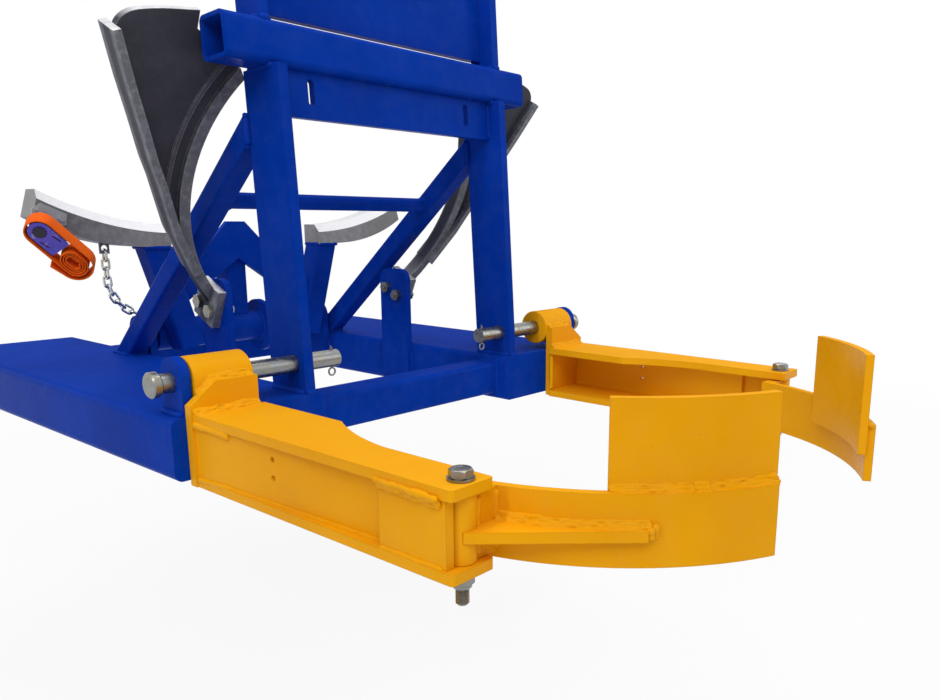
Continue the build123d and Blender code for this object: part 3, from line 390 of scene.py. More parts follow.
def zinc_plate(name, colour, rough, streak):
    """Plated steel with a faint yellow and blue cast, turning marks and handling scratches."""
    f = Finish(bpy.data.materials.new(name))
    at = f.place()
    cast = f.ramp(f.noise(at, 55.0, 3.0), (0.35, 0.0), (0.65, 1.0))
    dull = f.ramp(f.noise(at, 140.0, 4.0, 0.6), (0.42, 0.0), (0.70, 1.0))
    warm = [colour[0], colour[1] * 0.95, colour[2] * 0.80]
    cool = [colour[0] * 0.86, colour[1] * 0.93, colour[2]]
    base = f.mix(dull * 0.35, f.mix(cast, warm, cool), (0.20, 0.19, 0.18))
    marks = f.noise(at, 260.0, 3.0, 0.6, stretch=streak)
    normal = f.bump(marks, 0.00005, 0.6)
    f.surface(Base_Color=base, Metallic=0.94, Roughness=rough + dull * 0.22, Normal=normal)


def casting_skin(f, at, grain):
    """Pits and sand grain of a casting, as a normal."""
    sand = f.noise(at, 620.0, 3.0, 0.6)
    hills = f.noise(at, 75.0, 4.0, 0.6)
    holes = f.ramp(f.noise(at, 210.0, 2.0), (0.22, 0.0), (0.31, 1.0))
    low = f.bump(hills, 0.0014, 0.5)
    mid = f.bump(holes, 0.0005, 0.6, low)
    return f.bump(sand, grain, 0.6, mid), holes


def wing_casting(name, skin, bright, normal, offset):
    """Painted shade on the wing's web, the flange and rim painted lighter and upward faces bright as painted
    light, and painted highlights along sharp edges.
    """
    f = Finish(bpy.data.materials.new(name))
    at = f.place()
    away = abs(f.along(at, normal) - offset)
    proud = f.ramp(away * 60.0, (0.38, 0.0), (0.72, 1.0))
    up = f.ramp(f.axis(f.place("Normal"), "Z"), (0.45, 0.0), (0.85, 1.0))
    mottle = f.ramp(f.noise(at, 30.0, 5.0, 0.62), (0.36, 0.0), (0.70, 1.0))
    rub = f.ramp(f.noise(at, 95.0, 4.0, 0.65), (0.45, 0.0), (0.75, 1.0))
    bumps, holes = casting_skin(f, at, 0.00030)
    # the web's colour: painted shade, mottled at random
    dark = f.mix(mottle * 0.55, skin, [c * 1.9 for c in skin])
    # flange and rim painted lighter than the web: painted light
    edge = f.mix(rub * 0.60, (0.13, 0.137, 0.160), (0.33, 0.345, 0.390))
    face = f.mix(proud, dark, edge)
    # upward faces painted toward the bright casting colour: painted light
    lit = f.mix(up * (0.62 + rub * 0.3), face, bright)
    # painted highlights along sharp edges, convex and concave alike, stronger where the rub noise is high
    rubs_and_edge_highlights = f.mix(f.sharp(0.0022) * (0.25 + rub * 0.45), lit, [c * 0.62 for c in bright])
    base = f.mix((1 - holes) * 0.7, rubs_and_edge_highlights, (0.016, 0.015, 0.016))
    f.surface(Base_Color=base, Roughness=0.60 - up * 0.16 + rub * 0.10, Normal=bumps,
              Metallic=up * 0.45 + proud * 0.12, Specular_IOR_Level=0.30)


def saddle_casting(name, bright):
    """Galvanised casting with spangle and grey runs, upward faces painted bright as painted light, and darker
    toward the tips as painted shade.
    """
    f = Finish(bpy.data.materials.new(name))
    at = f.place()
    spangle = f.ramp(f.noise(at, 90.0, 4.0, 0.6), (0.34, 0.0), (0.66, 1.0))
    run = f.ramp(f.noise(at, 24.0, 4.0, 0.6), (0.45, 0.0), (0.72, 1.0))
    up = f.ramp(f.axis(f.place("Normal"), "Z"), (0.15, 0.0), (0.65, 1.0))
    bumps, holes = casting_skin(f, at, 0.00022)
    # grey of the side faces, spangled
    grey = f.mix(spangle, [c * 0.27 for c in bright], [c * 0.43 for c in bright])
    # upward faces painted bright: painted light
    lit = f.mix(up * 0.8, grey, [c * 1.16 for c in bright])
    # darker toward the tips: painted shade of the strap's shadow
    tip_shade = f.ramp(abs(f.axis(at, "X")), (0.19, 0.0), (0.31, 1.0))
    # grey runs and the painted tip shade, kept off the upward faces
    runs_and_tip_shade = f.mix((run * 0.20 + tip_shade * 0.55) * (1 - up), lit, (0.11, 0.105, 0.105))
    base = f.mix((1 - holes) * 0.55, runs_and_tip_shade, (0.05, 0.05, 0.05))
    f.surface(Base_Color=base, Metallic=0.35, Roughness=0.40 + spangle * 0.16, Normal=bumps)


def webbing(name, colour):
    """Woven polyester: ribs across, a chevron of yarns along, darker selvedges and soiled patches."""
    f = Finish(bpy.data.materials.new(name))
    at = f.place("UV")
    across = f.axis(at, "X")
    along = f.axis(at, "Y")
    rib = (along * 2600.0 + abs(across - 0.5) * 40.0).sine()
    yarn = (across * 190.0).sine()
    weave = rib * 0.5 + yarn * 0.5
    edge = f.ramp(abs(across - 0.5), (0.42, 0.0), (0.46, 1.0))
    soil = f.ramp(f.noise(f.place(), 60.0, 4.0, 0.6), (0.48, 0.0), (0.78, 1.0))
    dark = [c * 0.74 for c in colour]
    ribbed = f.mix(weave * 0.25 + 0.25, colour, dark)
    edged = f.mix(edge * 0.55, ribbed, dark)
    base = f.mix(soil * 0.22, edged, (0.16, 0.04, 0.015))
    f.surface(Base_Color=base, Roughness=0.62 + soil * 0.15, Normal=f.bump(weave, 0.0003, 0.7),
              Specular_IOR_Level=0.03)


def tinted_plate(name, colour, hub, axis):
    """Iridescent passivated plate: violet to blue, with a greased hub, a few rubs and steel behind."""
    f = Finish(bpy.data.materials.new(name))
    at = f.place()
    drift = f.ramp(f.noise(at, 28.0, 2.0), (0.36, 0.0), (0.64, 1.0))
    rub = f.ramp(f.noise(at, 150.0, 3.0), (0.60, 0.0), (0.74, 1.0))
    reach = f.vector("SUBTRACT", at, hub)
    radius = f.vector("LENGTH", f.vector("CROSS_PRODUCT", reach, axis), output=1)
    greased = f.ramp(radius * 50.0, (0.38, 1.0), (0.46, 0.0))
    behind = (0.0 - f.along(reach, axis)) > 0.0165
    steel = (0.46, 0.44, 0.50)
    violet = f.mix(drift, colour, [colour[0] * 0.55, colour[1] * 0.9, colour[2] * 0.95])
    rubs_and_edge_highlights = f.mix(rub * 0.45, violet, steel)
    dark = f.mix(greased, rubs_and_edge_highlights, (0.030, 0.028, 0.040))
    base = f.mix(behind, dark, (0.36, 0.36, 0.37))
    rough = 0.24 + rub * 0.20 + behind * 0.16
    f.surface(Base_Color=base, Metallic=0.80 - behind * 0.45, Roughness=rough)


# Modelling helpers
def clear_selection():
    if bpy.context.object and bpy.context.object.mode != "OBJECT":
        bpy.ops.object.mode_set(mode="OBJECT")
    bpy.ops.object.select_all(action="DESELECT")


def pick(piece):
    clear_selection()
    piece.select_set(True)
    bpy.context.view_layer.objects.active = piece


def blank_piece():
    """A new mesh object at the origin with nothing in it, open in edit mode."""
    clear_selection()
    bpy.ops.mesh.primitive_plane_add(size=SEED_SIZE)
    bpy.ops.object.mode_set(mode="EDIT")
    bpy.ops.mesh.select_mode(type="VERT")
    bpy.ops.mesh.select_all(action="SELECT")
    bpy.ops.mesh.delete(type="VERT")
    return bpy.context.object


def draw_line(points):
    """Adds one line of points to the mesh in edit mode."""
    bpy.ops.mesh.primitive_plane_add(size=SEED_SIZE, location=points[0])
    bpy.ops.mesh.merge(type="CENTER")
    for before, after in zip(points, points[1:]):
        bpy.ops.mesh.extrude_vertices_move(TRANSFORM_OT_translate={"value": Vector(after) - Vector(before)})


def add_modifier(piece, kind, **settings):
    """Adds a modifier, sets it up and applies it."""
    pick(piece)
    bpy.ops.object.modifier_add(type=kind)
    modifier = piece.modifiers[-1]
    for key, value in settings.items():
        setattr(modifier, key, value)
    bpy.ops.object.modifier_apply(modifier=modifier.name)


def settle(piece, name, body, finish, angle=40.0):
    """Names a finished piece, gives it its finish and hangs it on its body."""
    piece.name = name
    piece.data.name = name
    pick(piece)
    bpy.ops.object.transform_apply(location=True, rotation=True, scale=True)
    bpy.ops.object.shade_smooth_by_angle(angle=math.radians(angle))
    piece.data.materials.clear()
    piece.data.materials.append(bpy.data.materials[finish])
    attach(piece, body)
    return piece


def join(pieces):
    """Makes several pieces into the first of them."""
    clear_selection()
    for piece in pieces:
        piece.select_set(True)
    bpy.context.view_layer.objects.active = pieces[0]
    bpy.ops.object.join()
    return pieces[0]


def turned(profile, centre, steps=32):
    """A lathe piece about an upright line; the profile is radius and height from axis to axis."""
    piece = blank_piece()
    draw_line([(centre[0] + radius, centre[1], height) for radius, height in profile])
    bpy.ops.mesh.select_all(action="SELECT")
    bpy.ops.mesh.spin(steps=steps, angle=FULL_TURN, center=(centre[0], centre[1], 0), axis=(0, 0, 1))
    bpy.ops.mesh.select_all(action="SELECT")
    bpy.ops.mesh.remove_doubles(threshold=MERGE_GAP)
    bpy.ops.mesh.normals_make_consistent(inside=False)
    bpy.ops.object.mode_set(mode="OBJECT")
    return piece


def hexagon(across, profile, centre):
    """A hexagonal bar cut to a turned outline, as heads and nuts are."""
    envelope = turned(profile, centre, 64)
    low = min(height for radius, height in profile)
    high = max(height for radius, height in profile)
    clear_selection()
    middle = (centre[0], centre[1], (low + high) / 2)
    length = high - low + 2 * SEED_SIZE
    bpy.ops.mesh.primitive_cylinder_add(vertices=6, radius=across / math.sqrt(3), depth=length,
                                        location=middle, rotation=(0, 0, math.pi / 6))
    bar = bpy.context.object
    add_modifier(bar, "BOOLEAN", operation="INTERSECT", object=envelope, solver="EXACT")
    bpy.data.objects.remove(envelope)
    return bar


def raked(x, back, up):
    """Point in the plane that leans back about the pivot pin."""
    return Vector((x, PIN_Y + back * math.cos(RAKE) + up * math.sin(RAKE),
                   PIN_Z - back * math.sin(RAKE) + up * math.cos(RAKE)))


def on_jaw(side, radius, degrees, z):
    """Point on a circle about the drum's axis."""
    turn = math.radians(degrees)
    return Vector((side * radius * math.sin(turn), DRUM_Y - radius * math.cos(turn), z))


def stretch(points, step):
    """Points at even steps along a run of corners."""
    placed = [Vector(points[0])]
    for before, after in zip(points, points[1:]):
        before = Vector(before)
        after = Vector(after)
        count = max(1, round((after - before).length / step))
        placed += [before.lerp(after, (i + 1) / count) for i in range(count)]
    return placed


def ring(centre, radius, normal_axis, count=22):
    """Corners of a circle across one of the axes, closed."""
    points = []
    for i in range(count + 1):
        turn = FULL_TURN * i / count
        a = radius * math.cos(turn)
        b = radius * math.sin(turn)
        offset = {"X": (0, a, b), "Y": (a, 0, b), "Z": (a, b, 0)}[normal_axis]
        points.append(Vector(centre) + Vector(offset))
    return points


def rounded(point):
    """A place to a hundredth of a millimetre, by which a vertex is found again."""
    return tuple(round(c, 5) for c in point)


# A bead is a run of corners, its radius, and its roughness as a share of the radius
Bead = namedtuple("Bead", "corners radius rough", defaults=(0.08,))

# Runs that make up a broad fillet: shares of its leg along either plate, and the radius as a share of the leg
PASSES = ((0.74, -0.14), (0.48, 0.10), (0.27, 0.27), (0.10, 0.48), (-0.14, 0.74))
PASS_RADIUS = 0.37
PASS_ROUGH = 0.34


def broad(corners, first, second, leg):
    """Runs side by side that fill the corner between two plates; first and second point along the plates."""
    beads = []
    for a, b in PASSES:
        shift = (Vector(first) * a + Vector(second) * b) * leg
        beads.append(Bead([Vector(corner) + shift for corner in corners], leg * PASS_RADIUS, PASS_ROUGH))
    return beads


def weld_group(body, beads, colour, settings, seed):
    """A body's beads of weld in one painted piece; a bead without a roughness gets the usual one."""
    name = f"{body}_welds"
    chance = random.Random(seed)
    piece = blank_piece()
    radii = {}
    roots = set()
    for bead in beads:
        corners, radius, rough = Bead(*bead)
        slack = radius * rough
        points = []
        for p in stretch(corners, settings.step):
            moved = p + Vector([chance.uniform(-slack, slack) for axis in range(3)])
            points.append(moved)
            radii[rounded(moved)] = radius + chance.uniform(-slack, slack)
        roots.add(rounded(points[0]))
        draw_line(points)
    bpy.ops.object.mode_set(mode="OBJECT")
    pick(piece)
    bpy.ops.object.modifier_add(type="SKIN")
    skin = piece.modifiers[-1]
    skin.use_smooth_shade = True
    usual = settings.medium
    for vertex, data in zip(piece.data.vertices, piece.data.skin_vertices[0].data):
        key = rounded(vertex.co)
        size = radii.get(key, usual)
        data.radius = (size, size)
        data.use_root = key in roots
    bpy.ops.object.modifier_apply(modifier=skin.name)
    add_modifier(piece, "SUBSURF", levels=2, render_levels=2)
    for label, scale, share in (("lumps", 1.6, 0.55), ("grain", 0.34, 0.62)):
        cloud = bpy.data.textures.new(f"{name}_{label}", "CLOUDS")
        cloud.noise_scale = settings.step * scale
        add_modifier(piece, "DISPLACE", texture=cloud, strength=settings.lump * share, mid_level=0.5,
                     texture_coords="LOCAL")
    settle(piece, name, body, f"{colour}_gloss", 180.0)


class FinishNodes(bpy.types.Operator):
    """Mixes the finishes and puts one on every solid of the lifter"""
    bl_idname = "lifter.finish_nodes"
    bl_label = "Finish the solids"

    def execute(self, context):
        colours = context.scene.lifter.finish
        back, up = math.sin(WING_TILT), math.cos(WING_TILT)
        wing_offset = WING_Y * back + WING_Z * up
        joints = {joint["name"]: joint for joint in frame["record"]["behaviour"]["joints"]}
        axle = joints["ratchet_handle_turn"]
        gloss_paint("blue_gloss", colours.blue, colours.blue_deep, 0.22, 0.01)
        gloss_paint("yellow_gloss", colours.yellow, colours.yellow_deep, 0.26, 0.05)
        zinc_plate("zinc_across", colours.zinc, 0.26, (0.06, 1.0, 1.0))
        zinc_plate("zinc_upright", colours.zinc, 0.22, (1.0, 1.0, 0.06))
        zinc_plate("chain_zinc", [c * 2.5 for c in colours.zinc], 0.18, (1.0, 1.0, 1.0))
        wing_casting("wing_casting", colours.skin, colours.bright, (0.0, back, up), wing_offset)
        saddle_casting("saddle_casting", colours.bright)
        webbing("orange_webbing", colours.orange)
        tinted_plate("ratchet_plate", colours.plate, axle["pos_m"], axle["axis"])
        by_slot = {"blue_paint": "blue_gloss", "yellow_paint": "yellow_gloss", "zinc_steel": "zinc_upright",
                   "cast_grey": "saddle_casting", "webbing": "orange_webbing",
                   "plated_steel": "ratchet_plate", "chain_steel": "chain_zinc"}
        by_node = {"pivot_pins": "zinc_across", "pivot_shaft": "zinc_across", "wing_bolts": "zinc_across",
                   "ratchet_handle": "chain_zinc", "guide_wing_left": "wing_casting",
                   "guide_wing_right": "wing_casting"}
        for entry in frame["record"]["subparts"]:
            node = entry["node"]
            finish = by_node.get(node, by_slot[entry["material_slot"]])
            for slot in NODES[node].material_slots:
                slot.material = bpy.data.materials[finish]
        return {"FINISHED"}


class FrameWelds(bpy.types.Operator):
    """Lays the weld beads of the blue frame"""
    bl_idname = "lifter.frame_welds"
    bl_label = "Frame welds"

    def execute(self, context):
        weld = context.scene.lifter.weld
        beads = []
        for name, side in SIDES.items():
            beads += self.post_beads(name, side, weld)
            beads += self.brace_beads(name, side, weld)
            beads += self.pocket_beads(side, weld)
        weld_group("frame", beads, "blue", weld, SEEDS["frame"])
        return {"FINISHED"}

    def post_beads(self, name, side, weld):
        """Round the foot and the head of an upright, and where the upper upright stands on the tube."""
        low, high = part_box(f"upright_{name}")
        rear = low.y + POST_FOOT
        beads = []
        for x in (low.x, high.x):
            beads.append(([(x, y, POCKET_SEAM) for y in (low.y + 0.002, rear)], weld.medium))
            beads.append(([raked(x, back, POST_HEAD) for back in POST_HEAD_DEPTH], weld.light))
        for y in (low.y + 0.001, rear):
            beads.append(([(x, y, POCKET_SEAM) for x in (low.x, high.x)], weld.medium))
        front, behind = POST_HEAD_DEPTH
        for back in (front - 0.001, behind + 0.001):
            beads.append(([raked(x, back, POST_HEAD) for x in (low.x, high.x)], weld.light))
        edges = [side * x for x in UPPER_POST]
        for x in edges:
            beads.append(([raked(x, back, TUBE_TOP) for back in UPPER_POST_DEPTH], weld.medium))
        beads.append(([raked(x, UPPER_POST_DEPTH[0], TUBE_TOP) for x in edges], weld.medium))
        plate_end = [raked(side * STRAP_PLATE_END, 0.003, up) for up in STRAP_PLATE_EDGES]
        beads.append((plate_end, weld.light))
        return beads

    def brace_beads(self, name, side, weld):
        """Round both ends of a brace and of the mid tube."""
        low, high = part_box(f"brace_{name}")
        tube_low, tube_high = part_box("mid_cross_tube")
        ends = (high.y - BRACE_TUBE / math.sin(BRACE_SLOPE), high.y)
        beads = []
        for y in ends:
            beads.append(([(x, y, POCKET_SEAM) for x in (low.x, high.x)], weld.light))
        for x in (low.x, high.x):
            beads.append(([(x, y, POCKET_SEAM) for y in ends], weld.light))
        inner = low.x if side > 0 else high.x
        middle = (tube_low + tube_high) / 2
        radius = (tube_high.y - tube_low.y) / 2
        beads.append((ring((inner, middle.y, middle.z), radius, "X", 14), weld.light))
        low_up, high_up = BRACE_HEAD
        for x in BRACE_SIDES:
            upright = [raked(side * x, 0.050, up) for up in (low_up + 0.001, high_up - 0.002)]
            beads.append((upright, weld.medium))
        for up in BRACE_HEAD:
            level = [raked(side * x, 0.051, up) for x in BRACE_SPAN]
            beads.append((level, weld.light))
        return beads

    def pocket_beads(self, side, weld):
        """Round an ear, and where cross tubes, stand and bracket meet a pocket's inner wall."""
        beads = []
        ear_low, ear_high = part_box("pivot_ears")
        outer = side * ear_high.x
        inner = side * EAR_INNER
        for x in (inner, outer):
            beads.append(([(x, y, POCKET_SEAM) for y in (ear_low.y + 0.001, ear_high.y)], weld.medium))
        for y in (ear_low.y, ear_high.y):
            beads.append(([(x, y, POCKET_SEAM) for x in (inner, outer)], weld.medium))
        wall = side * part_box("front_cross_tube")[1].x
        for node in ("front_cross_tube", "rear_cross_tube"):
            low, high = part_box(node)
            corners = [(wall, low.y, low.z), (wall, high.y, low.z), (wall, high.y, high.z),
                       (wall, low.y, high.z), (wall, low.y, low.z)]
            beads.append((corners, weld.light))
        for node in ("wing_stands", "bearing_brackets"):
            low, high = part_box(node)
            for y in (low.y, high.y):
                beads.append(([(wall, y, low.z), (wall, y, POCKET_TOP - POCKET_CORNER)], weld.light))
        return beads


class ArmWelds(bpy.types.Operator):
    """Lays the fillets and beads of the lifting arms"""
    bl_idname = "lifter.arm_welds"
    bl_label = "Arm welds"

    def execute(self, context):
        weld = context.scene.lifter.weld
        for name, side in SIDES.items():
            beads = self.beads(name, side, weld)
            weld_group(f"arm_{name}", beads, "yellow", weld, SEEDS["arm"] + side)
        return {"FINISHED"}

    def beads(self, name, side, weld):
        """Broad fillets along crest, ledge and cheek, and thinner beads in the other corners."""
        back_low, back_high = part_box(f"arm_back_plate_{name}")
        top_low, top_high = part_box(f"arm_top_plate_{name}")
        barrel_low, barrel_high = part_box(f"arm_barrel_{name}")
        plate_low, plate_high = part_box(f"arm_side_plate_{name}")

        def at(x, y, z):
            return Vector((side * x, y, z))

        outer = max(abs(top_low.x), abs(top_high.x))
        inner = min(abs(top_low.x), abs(top_high.x))
        back_in = min(abs(back_low.x), abs(back_high.x))
        barrel_out = max(abs(barrel_low.x), abs(barrel_high.x))
        web = min(abs(plate_low.x), abs(plate_high.x))
        face = max(abs(plate_low.x), abs(plate_high.x))
        rear = back_low.y
        brow = back_high.z
        under = top_low.z
        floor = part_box(f"arm_bottom_plate_{name}")[1].z
        seat = barrel_low.y + 0.001
        flush = outer - 0.001
        crest = [at(back_in + 0.002, seat - 0.001, brow), at(BARREL_SHOULDER, seat - 0.001, brow),
                 at(barrel_out, seat, brow - 0.016)]
        ledge = [at(inner + 0.006, rear, top_high.z), at(outer, rear, top_high.z)]
        cheek = [at(face, plate_high.y, under), at(face + 0.001, plate_low.y + 0.004, under - 0.001)]
        beads = broad(crest, (0, 0.2, 0.98), (0, -1, 0), weld.leg)
        beads += broad(ledge, (0, -1, 0), (0, 0, 1), weld.leg)
        beads += broad(cheek, (side * 0.6, 0, 0), (0, 0, -1), weld.leg * 1.25)
        return beads + [
            ([at(flush, rear, under - 0.001), at(flush - 0.0025, rear - 0.066, under - 0.003)], weld.medium),
            ([at(flush, rear, floor - 0.001), at(flush - 0.0025, rear - 0.060, floor)], weld.light),
            ([at(flush, rear, floor), at(web, plate_high.y, floor)], weld.light * 0.7),
            ([at(flush, rear, under), at(web, plate_high.y, under)], weld.light * 0.6),
            ([at(web, plate_high.y, floor), at(web, plate_high.y, under)], weld.light),
            ([at(face, plate_high.y, floor), at(face, plate_low.y + 0.004, floor)], weld.light * 0.8),
            ([at(back_in, rear, under), at(back_in, rear, floor)], weld.light),
        ]


class JawWelds(bpy.types.Operator):
    """Lays the beads that tie pad, band, gusset and barrel together"""
    bl_idname = "lifter.jaw_welds"
    bl_label = "Jaw welds"

    def execute(self, context):
        weld = context.scene.lifter.weld
        for name, side in SIDES.items():
            beads = self.beads(name, side, weld)
            weld_group(f"jaw_{name}", beads, "yellow", weld, SEEDS["jaw"] + side)
        return {"FINISHED"}

    def beads(self, name, side, weld):
        """Broad fillets where pad and gusset meet the band, and plain beads elsewhere."""
        gusset_low, gusset_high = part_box(f"jaw_gusset_{name}")
        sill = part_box(f"jaw_band_{name}")[1].z
        seat = gusset_high.z
        beads = self.arc(side, PAD_R, range(55, 24, -1), sill, weld.leg * 0.95)
        beads += self.arc(side, PAD_R, range(41, 37, -1), sill, weld.leg * 1.15)
        beads += self.arc(side, BAND_R, range(73, 47, -1), seat, weld.leg)
        for out, degrees in ((0.001, 47.5), (0.005, 48.1)):
            tip = [on_jaw(side, BAND_R + out, degrees, z) for z in (gusset_low.z, seat + 0.003)]
            beads.append(Bead(tip, weld.medium * 0.85, PASS_ROUGH))
        lower_run = [on_jaw(side, BAND_R, degrees, gusset_low.z) for degrees in range(70, 48, -1)]
        front = HINGE_Y - 0.008
        inner = side * (HINGE_X - 0.011)
        corner = side * JAW_CORNER
        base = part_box(f"jaw_barrel_{name}")[0].z + 0.003
        brow = sill - 0.003
        barrel_run = [Vector((inner, front + 0.002, z)) for z in (base, brow)]
        band_run = [Vector((corner, front + 0.002, z)) for z in (base, brow)]
        foot = [Vector((side * (HINGE_X + 0.002), HINGE_Y - 0.0135, z)) for z in (gusset_low.z, seat)]
        beads += [(lower_run, weld.light), (foot, weld.light * 0.55)]
        return beads + [(barrel_run, weld.medium), (band_run, weld.medium)]

    def arc(self, side, radius, turns, z, leg):
        """A broad fillet along a circle about the drum's axis, between a level face and an upright one."""
        beads = []
        for out, up in PASSES:
            run = [on_jaw(side, radius + out * leg, degrees, z + up * leg) for degrees in turns]
            beads.append(Bead(run, leg * PASS_RADIUS, PASS_ROUGH))
        return beads


class YokeWelds(bpy.types.Operator):
    """Lays the beads of the rear yoke"""
    bl_idname = "lifter.yoke_welds"
    bl_label = "Yoke welds"

    def execute(self, context):
        weld = context.scene.lifter.weld
        hub_low, hub_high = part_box("yoke_hub")
        middle = (hub_low + hub_high) / 2
        beads = []
        for side in SIDES.values():
            for x in HUB_DISC_FACES:
                beads.append((ring((side * x, middle.y, middle.z), HUB_R, "X"), weld.light))
        for name, side in SIDES.items():
            low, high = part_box(f"yoke_leg_{name}")
            far = high.x if side > 0 else low.x
            near = far - side * YOKE_LEG_WIDTH
            corners = [(near, low.y, high.z), (far, low.y, high.z), (far, high.y, high.z),
                       (near, high.y, high.z), (near, low.y, high.z)]
            beads.append((corners, weld.light))
        weld_group("yoke", beads, "blue", weld, SEEDS["yoke"])
        return {"FINISHED"}


class HingeBolts(bpy.types.Operator):
    """Models the jaw hinges' bolts, with chamfered head and thread, and their lock nuts"""
    bl_idname = "lifter.hinge_bolts"
    bl_label = "Hinge bolts and nuts"

    def execute(self, context):
        size = context.scene.lifter.fastener
        for name in SIDES:
            self.bolt(name, size)
            self.nut(name, size)
        return {"FINISHED"}

    def bolt(self, name, size):
        node = f"hinge_bolt_{name}"
        low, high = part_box(node)
        centre = ((low.x + high.x) / 2, (low.y + high.y) / 2)
        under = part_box(f"hinge_washers_{name}")[1].z
        corner = size.across / math.sqrt(3)
        face = size.across / 2
        outline = [(0, under), (face, under), (corner, under + CHAMFER), (corner, high.z - CROWN),
                   (face * 0.93, high.z), (0, high.z)]
        head = hexagon(size.across, outline, centre)
        core = size.shank - size.depth
        profile = [(0, low.z), (core - 0.6 * size.depth, low.z), (core, low.z + 0.001)]
        height = low.z + 0.001
        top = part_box(f"hinge_nut_{name}")[1].z
        while height + size.pitch < top:
            profile.append((size.shank, height + size.pitch * 0.45))
            profile.append((size.shank, height + size.pitch * 0.55))
            profile.append((core, height + size.pitch))
            height += size.pitch
        profile += [(size.shank, height + 0.001), (size.shank, under + 0.001), (0, under + 0.001)]
        piece = join([head, turned(profile, centre)])
        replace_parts(settle(piece, f"bolt_{name}", f"arm_{name}", "zinc_upright", 35.0), node)

    def nut(self, name, size):
        node = f"hinge_nut_{name}"
        low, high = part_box(node)
        centre = ((low.x + high.x) / 2, (low.y + high.y) / 2)
        corner = size.across / math.sqrt(3)
        face = size.across / 2
        bore = size.shank + 0.00005
        collar = low.z + 0.0035
        outline = [(bore, collar), (face * 0.94, collar), (corner, collar + CROWN),
                   (corner, high.z - CHAMFER), (face, high.z), (bore, high.z), (bore, collar)]
        body = hexagon(size.across, outline, centre)
        seam = collar + 0.0004
        ring_outline = [(bore, seam), (bore, low.z + 0.0002), (face * 0.80, low.z),
                        (face * 0.88, low.z + 0.0008), (face * 0.90, seam), (bore, seam)]
        rim = turned(ring_outline, centre)
        piece = join([body, rim])
        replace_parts(settle(piece, f"nut_{name}", f"arm_{name}", "zinc_upright", 35.0), node)


class WoundStrap(bpy.types.Operator):
    """Winds the orange strap on itself and round the ratchet"""
    bl_idname = "lifter.wound_strap"
    bl_label = "Wound strap"

    def execute(self, context):
        strap = context.scene.lifter.strap
        centre = Vector(strap.centre)
        piece = blank_piece()
        half = Vector((0, strap.width / 2, 0))
        places = []
        for i, (x, z) in enumerate(self.path(strap)):
            slip = strap.fan * math.sin(i * STRAP_SLIP_TURN)
            places.append(Vector((x, centre.y + slip, z)))
        draw_line([places[0] - half, places[0], places[0] + half])
        bpy.ops.mesh.select_all(action="SELECT")
        for before, after in zip(places, places[1:]):
            bpy.ops.mesh.extrude_region_move(TRANSFORM_OT_translate={"value": after - before})
        bpy.ops.mesh.select_all(action="SELECT")
        bpy.ops.mesh.normals_make_consistent(inside=False)
        bpy.ops.object.mode_set(mode="OBJECT")
        self.lay_threads(piece, places, strap)
        add_modifier(piece, "SOLIDIFY", thickness=strap.thick, offset=0.0, use_even_offset=True)
        add_modifier(piece, "BEVEL", width=strap.thick * 0.3, segments=2, limit_method="ANGLE")
        long = Vector((math.cos(strap.slope), 0, math.sin(strap.slope)))
        lean = Matrix.Rotation(strap.tilt, 4, long)
        piece.matrix_world = Matrix.Translation(centre) @ lean @ Matrix.Translation(-centre)
        piece = settle(piece, "strap", "yoke", "orange_webbing", 60.0)
        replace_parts(piece, "strap_roll")
        return {"FINISHED"}

    def path(self, strap):
        """A bundle of half turns, one long loop round the ratchet and the free end, as in the solid."""
        origin = Vector((strap.centre[0], strap.centre[2]))
        long = Vector((math.cos(strap.slope), math.sin(strap.slope)))
        wide = Vector((-long.y, long.x))
        right = strap.bundle + strap.half
        left = strap.bundle - strap.half
        arcs = []
        for k in range(STRAP_HALF_TURNS):
            radius = strap.radius + k * strap.pitch / 2
            arcs.append((right, 0.0, radius, 1) if k % 2 == 0 else (left, strap.pitch / 2, radius, -1))
        middle = strap.loop - arcs[-1][2]
        arcs.append((0.0, middle, strap.loop, -1))
        last = middle + strap.loop - strap.end
        arcs.append((right, last, strap.end, 1))
        points = []
        for a, b, radius, end in arcs:
            for i in range(STRAP_ARC_STEPS + 1):
                angle = math.pi * i / STRAP_ARC_STEPS
                along = a + end * radius * math.sin(angle)
                across = b + end * radius * math.cos(angle)
                points.append(origin + long * along + wide * across)
        step = (long * math.cos(STRAP_END_TURN) + wide * math.sin(STRAP_END_TURN)) * strap.free
        points.append(points[-1] + step)
        return stretch(points, STRAP_STEP)

    def lay_threads(self, piece, places, strap):
        """A map whose first value runs across the webbing and whose second is the length along it."""
        lengths = {}
        run = 0.0
        for i, place in enumerate(places):
            run += (place - places[i - 1]).length if i else 0.0
            lengths[rounded(place.xz)] = (run, place.y)
        layer = piece.data.uv_layers.new(name="threads")
        for loop in piece.data.loops:
            spot = piece.data.vertices[loop.vertex_index].co
            length, middle = lengths[rounded(spot.xz)]
            layer.data[loop.index].uv = ((spot.y - middle) / strap.width + 0.5, length)


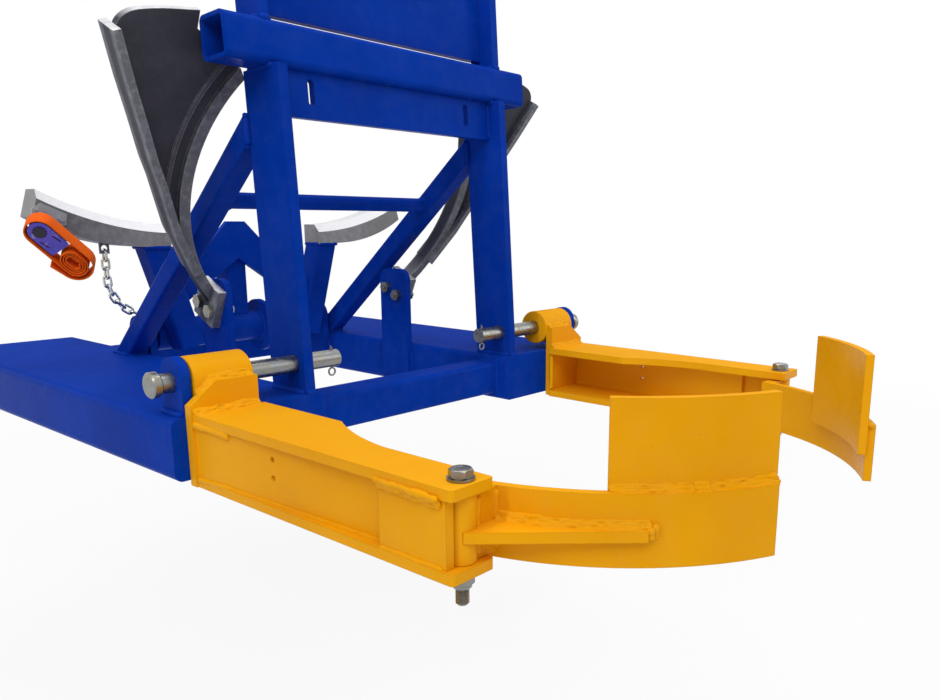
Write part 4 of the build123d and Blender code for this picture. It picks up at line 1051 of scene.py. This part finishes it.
class Stage(bpy.types.Operator):
    """Sets the white floor, the lamps and the camera"""
    bl_idname = "lifter.stage"
    bl_label = "Stage"

    def execute(self, context):
        stage = context.scene.lifter.stage
        context.scene.view_settings.view_transform = "Standard"
        self.floor(stage)
        self.sky(context, stage)
        low, high = CAD_BOX
        middle = (Vector(low) + Vector(high)) / 2
        for name, (place, size, setting) in LAMPS.items():
            self.lamp(name, place, middle, size, getattr(stage, setting))
        self.camera(context, stage)
        return {"FINISHED"}

    def floor(self, stage):
        clear_selection()
        bpy.ops.mesh.primitive_plane_add(size=FLOOR_SIZE, location=(0, 0, stage.floor))
        floor = bpy.context.object
        floor.name = "floor"
        white_floor = bpy.data.materials.new("white_floor")
        f = Finish(white_floor)
        seen = self.seen(f)
        speck = f.noise(f.place(), 3.0, 2.0)
        white = f.mix(speck, (0.86, 0.86, 0.86), (0.90, 0.90, 0.90))
        paint = f.node("ShaderNodeBsdfDiffuse", {}, {"Color": white})
        glow = f.node("ShaderNodeEmission", {}, {"Color": (1, 1, 1, 1), "Strength": 1.0})
        reach = f.vector("LENGTH", f.place(), output=1)
        plain = f.ramp(reach * 0.1, (0.10, 0.87), (0.32, 1.0))
        shader = f.node("ShaderNodeMixShader", {}, {0: seen * plain, 1: paint, 2: glow})
        f.node("ShaderNodeOutputMaterial", {}, {"Surface": shader})
        floor.data.materials.append(white_floor)

    def seen(self, f):
        """1 for rays from the camera and for mirrored or refracted ones."""
        rays = [f.node("ShaderNodeLightPath", output=name)
                for name in ("Is Camera Ray", "Is Glossy Ray", "Is Transmission Ray")]
        return rays[0].most(rays[1]).most(rays[2])

    def sky(self, context, stage):
        context.scene.world = bpy.data.worlds.new("studio")
        f = Finish(context.scene.world)
        strength = self.seen(f) * (1.0 - stage.sky) + stage.sky
        light = f.node("ShaderNodeBackground", {}, {"Color": (1, 1, 1, 1), "Strength": strength})
        f.node("ShaderNodeOutputWorld", {}, {"Surface": light})

    def lamp(self, name, place, target, size, power):
        data = bpy.data.lights.new(name, "AREA")
        data.shape = "RECTANGLE"
        data.size, data.size_y = size
        data.energy = power
        lamp = bpy.data.objects.new(name, data)
        bpy.context.scene.collection.objects.link(lamp)
        lamp.location = place
        lamp.rotation_euler = (target - Vector(place)).to_track_quat("-Z", "Y").to_euler()

    def camera(self, context, stage):
        data = bpy.data.cameras.new("camera")
        data.sensor_fit = "HORIZONTAL"
        data.sensor_width = SENSOR_WIDTH
        data.lens = stage.lens
        data.shift_x, data.shift_y = LENS_SHIFT
        data.clip_end = FAR_CLIP
        camera = bpy.data.objects.new("camera", data)
        context.scene.collection.objects.link(camera)
        turn = Matrix.Rotation(-stage.yaw, 4, "Z") @ Matrix.Rotation(math.pi / 2 - stage.pitch, 4, "X")
        camera.matrix_world = Matrix.Translation(stage.eye) @ turn @ Matrix.Rotation(stage.roll, 4, "Z")
        context.scene.camera = camera


class LifterPanel(bpy.types.Panel):
    """Lists the steps that dress the lifter"""
    bl_idname = "VIEW3D_PT_lifter"
    bl_label = "Drum lifter"
    bl_space_type = "VIEW_3D"
    bl_region_type = "UI"
    bl_category = "Lifter"

    def draw(self, context):
        for step in STEPS:
            self.layout.operator(step.bl_idname)


STEPS = (FinishNodes, FrameWelds, ArmWelds, JawWelds, YokeWelds, HingeBolts, WoundStrap, Stage)
GROUPS = (FinishSettings, WeldSettings, FastenerSettings, StrapSettings, StageSettings, LifterSettings)


def register():
    for cls in GROUPS + STEPS + (LifterPanel,):
        bpy.utils.register_class(cls)
    bpy.types.Scene.lifter = PointerProperty(type=LifterSettings)


def unregister():
    del bpy.types.Scene.lifter
    for cls in reversed(GROUPS + STEPS + (LifterPanel,)):
        bpy.utils.unregister_class(cls)


def main():
    """Runs every step in order."""
    register()
    bpy.ops.lifter.finish_nodes()
    bpy.ops.lifter.frame_welds()
    bpy.ops.lifter.arm_welds()
    bpy.ops.lifter.jaw_welds()
    bpy.ops.lifter.yoke_welds()
    bpy.ops.lifter.hinge_bolts()
    bpy.ops.lifter.wound_strap()
    bpy.ops.lifter.stage()


if __name__ == "__main__":
    main()
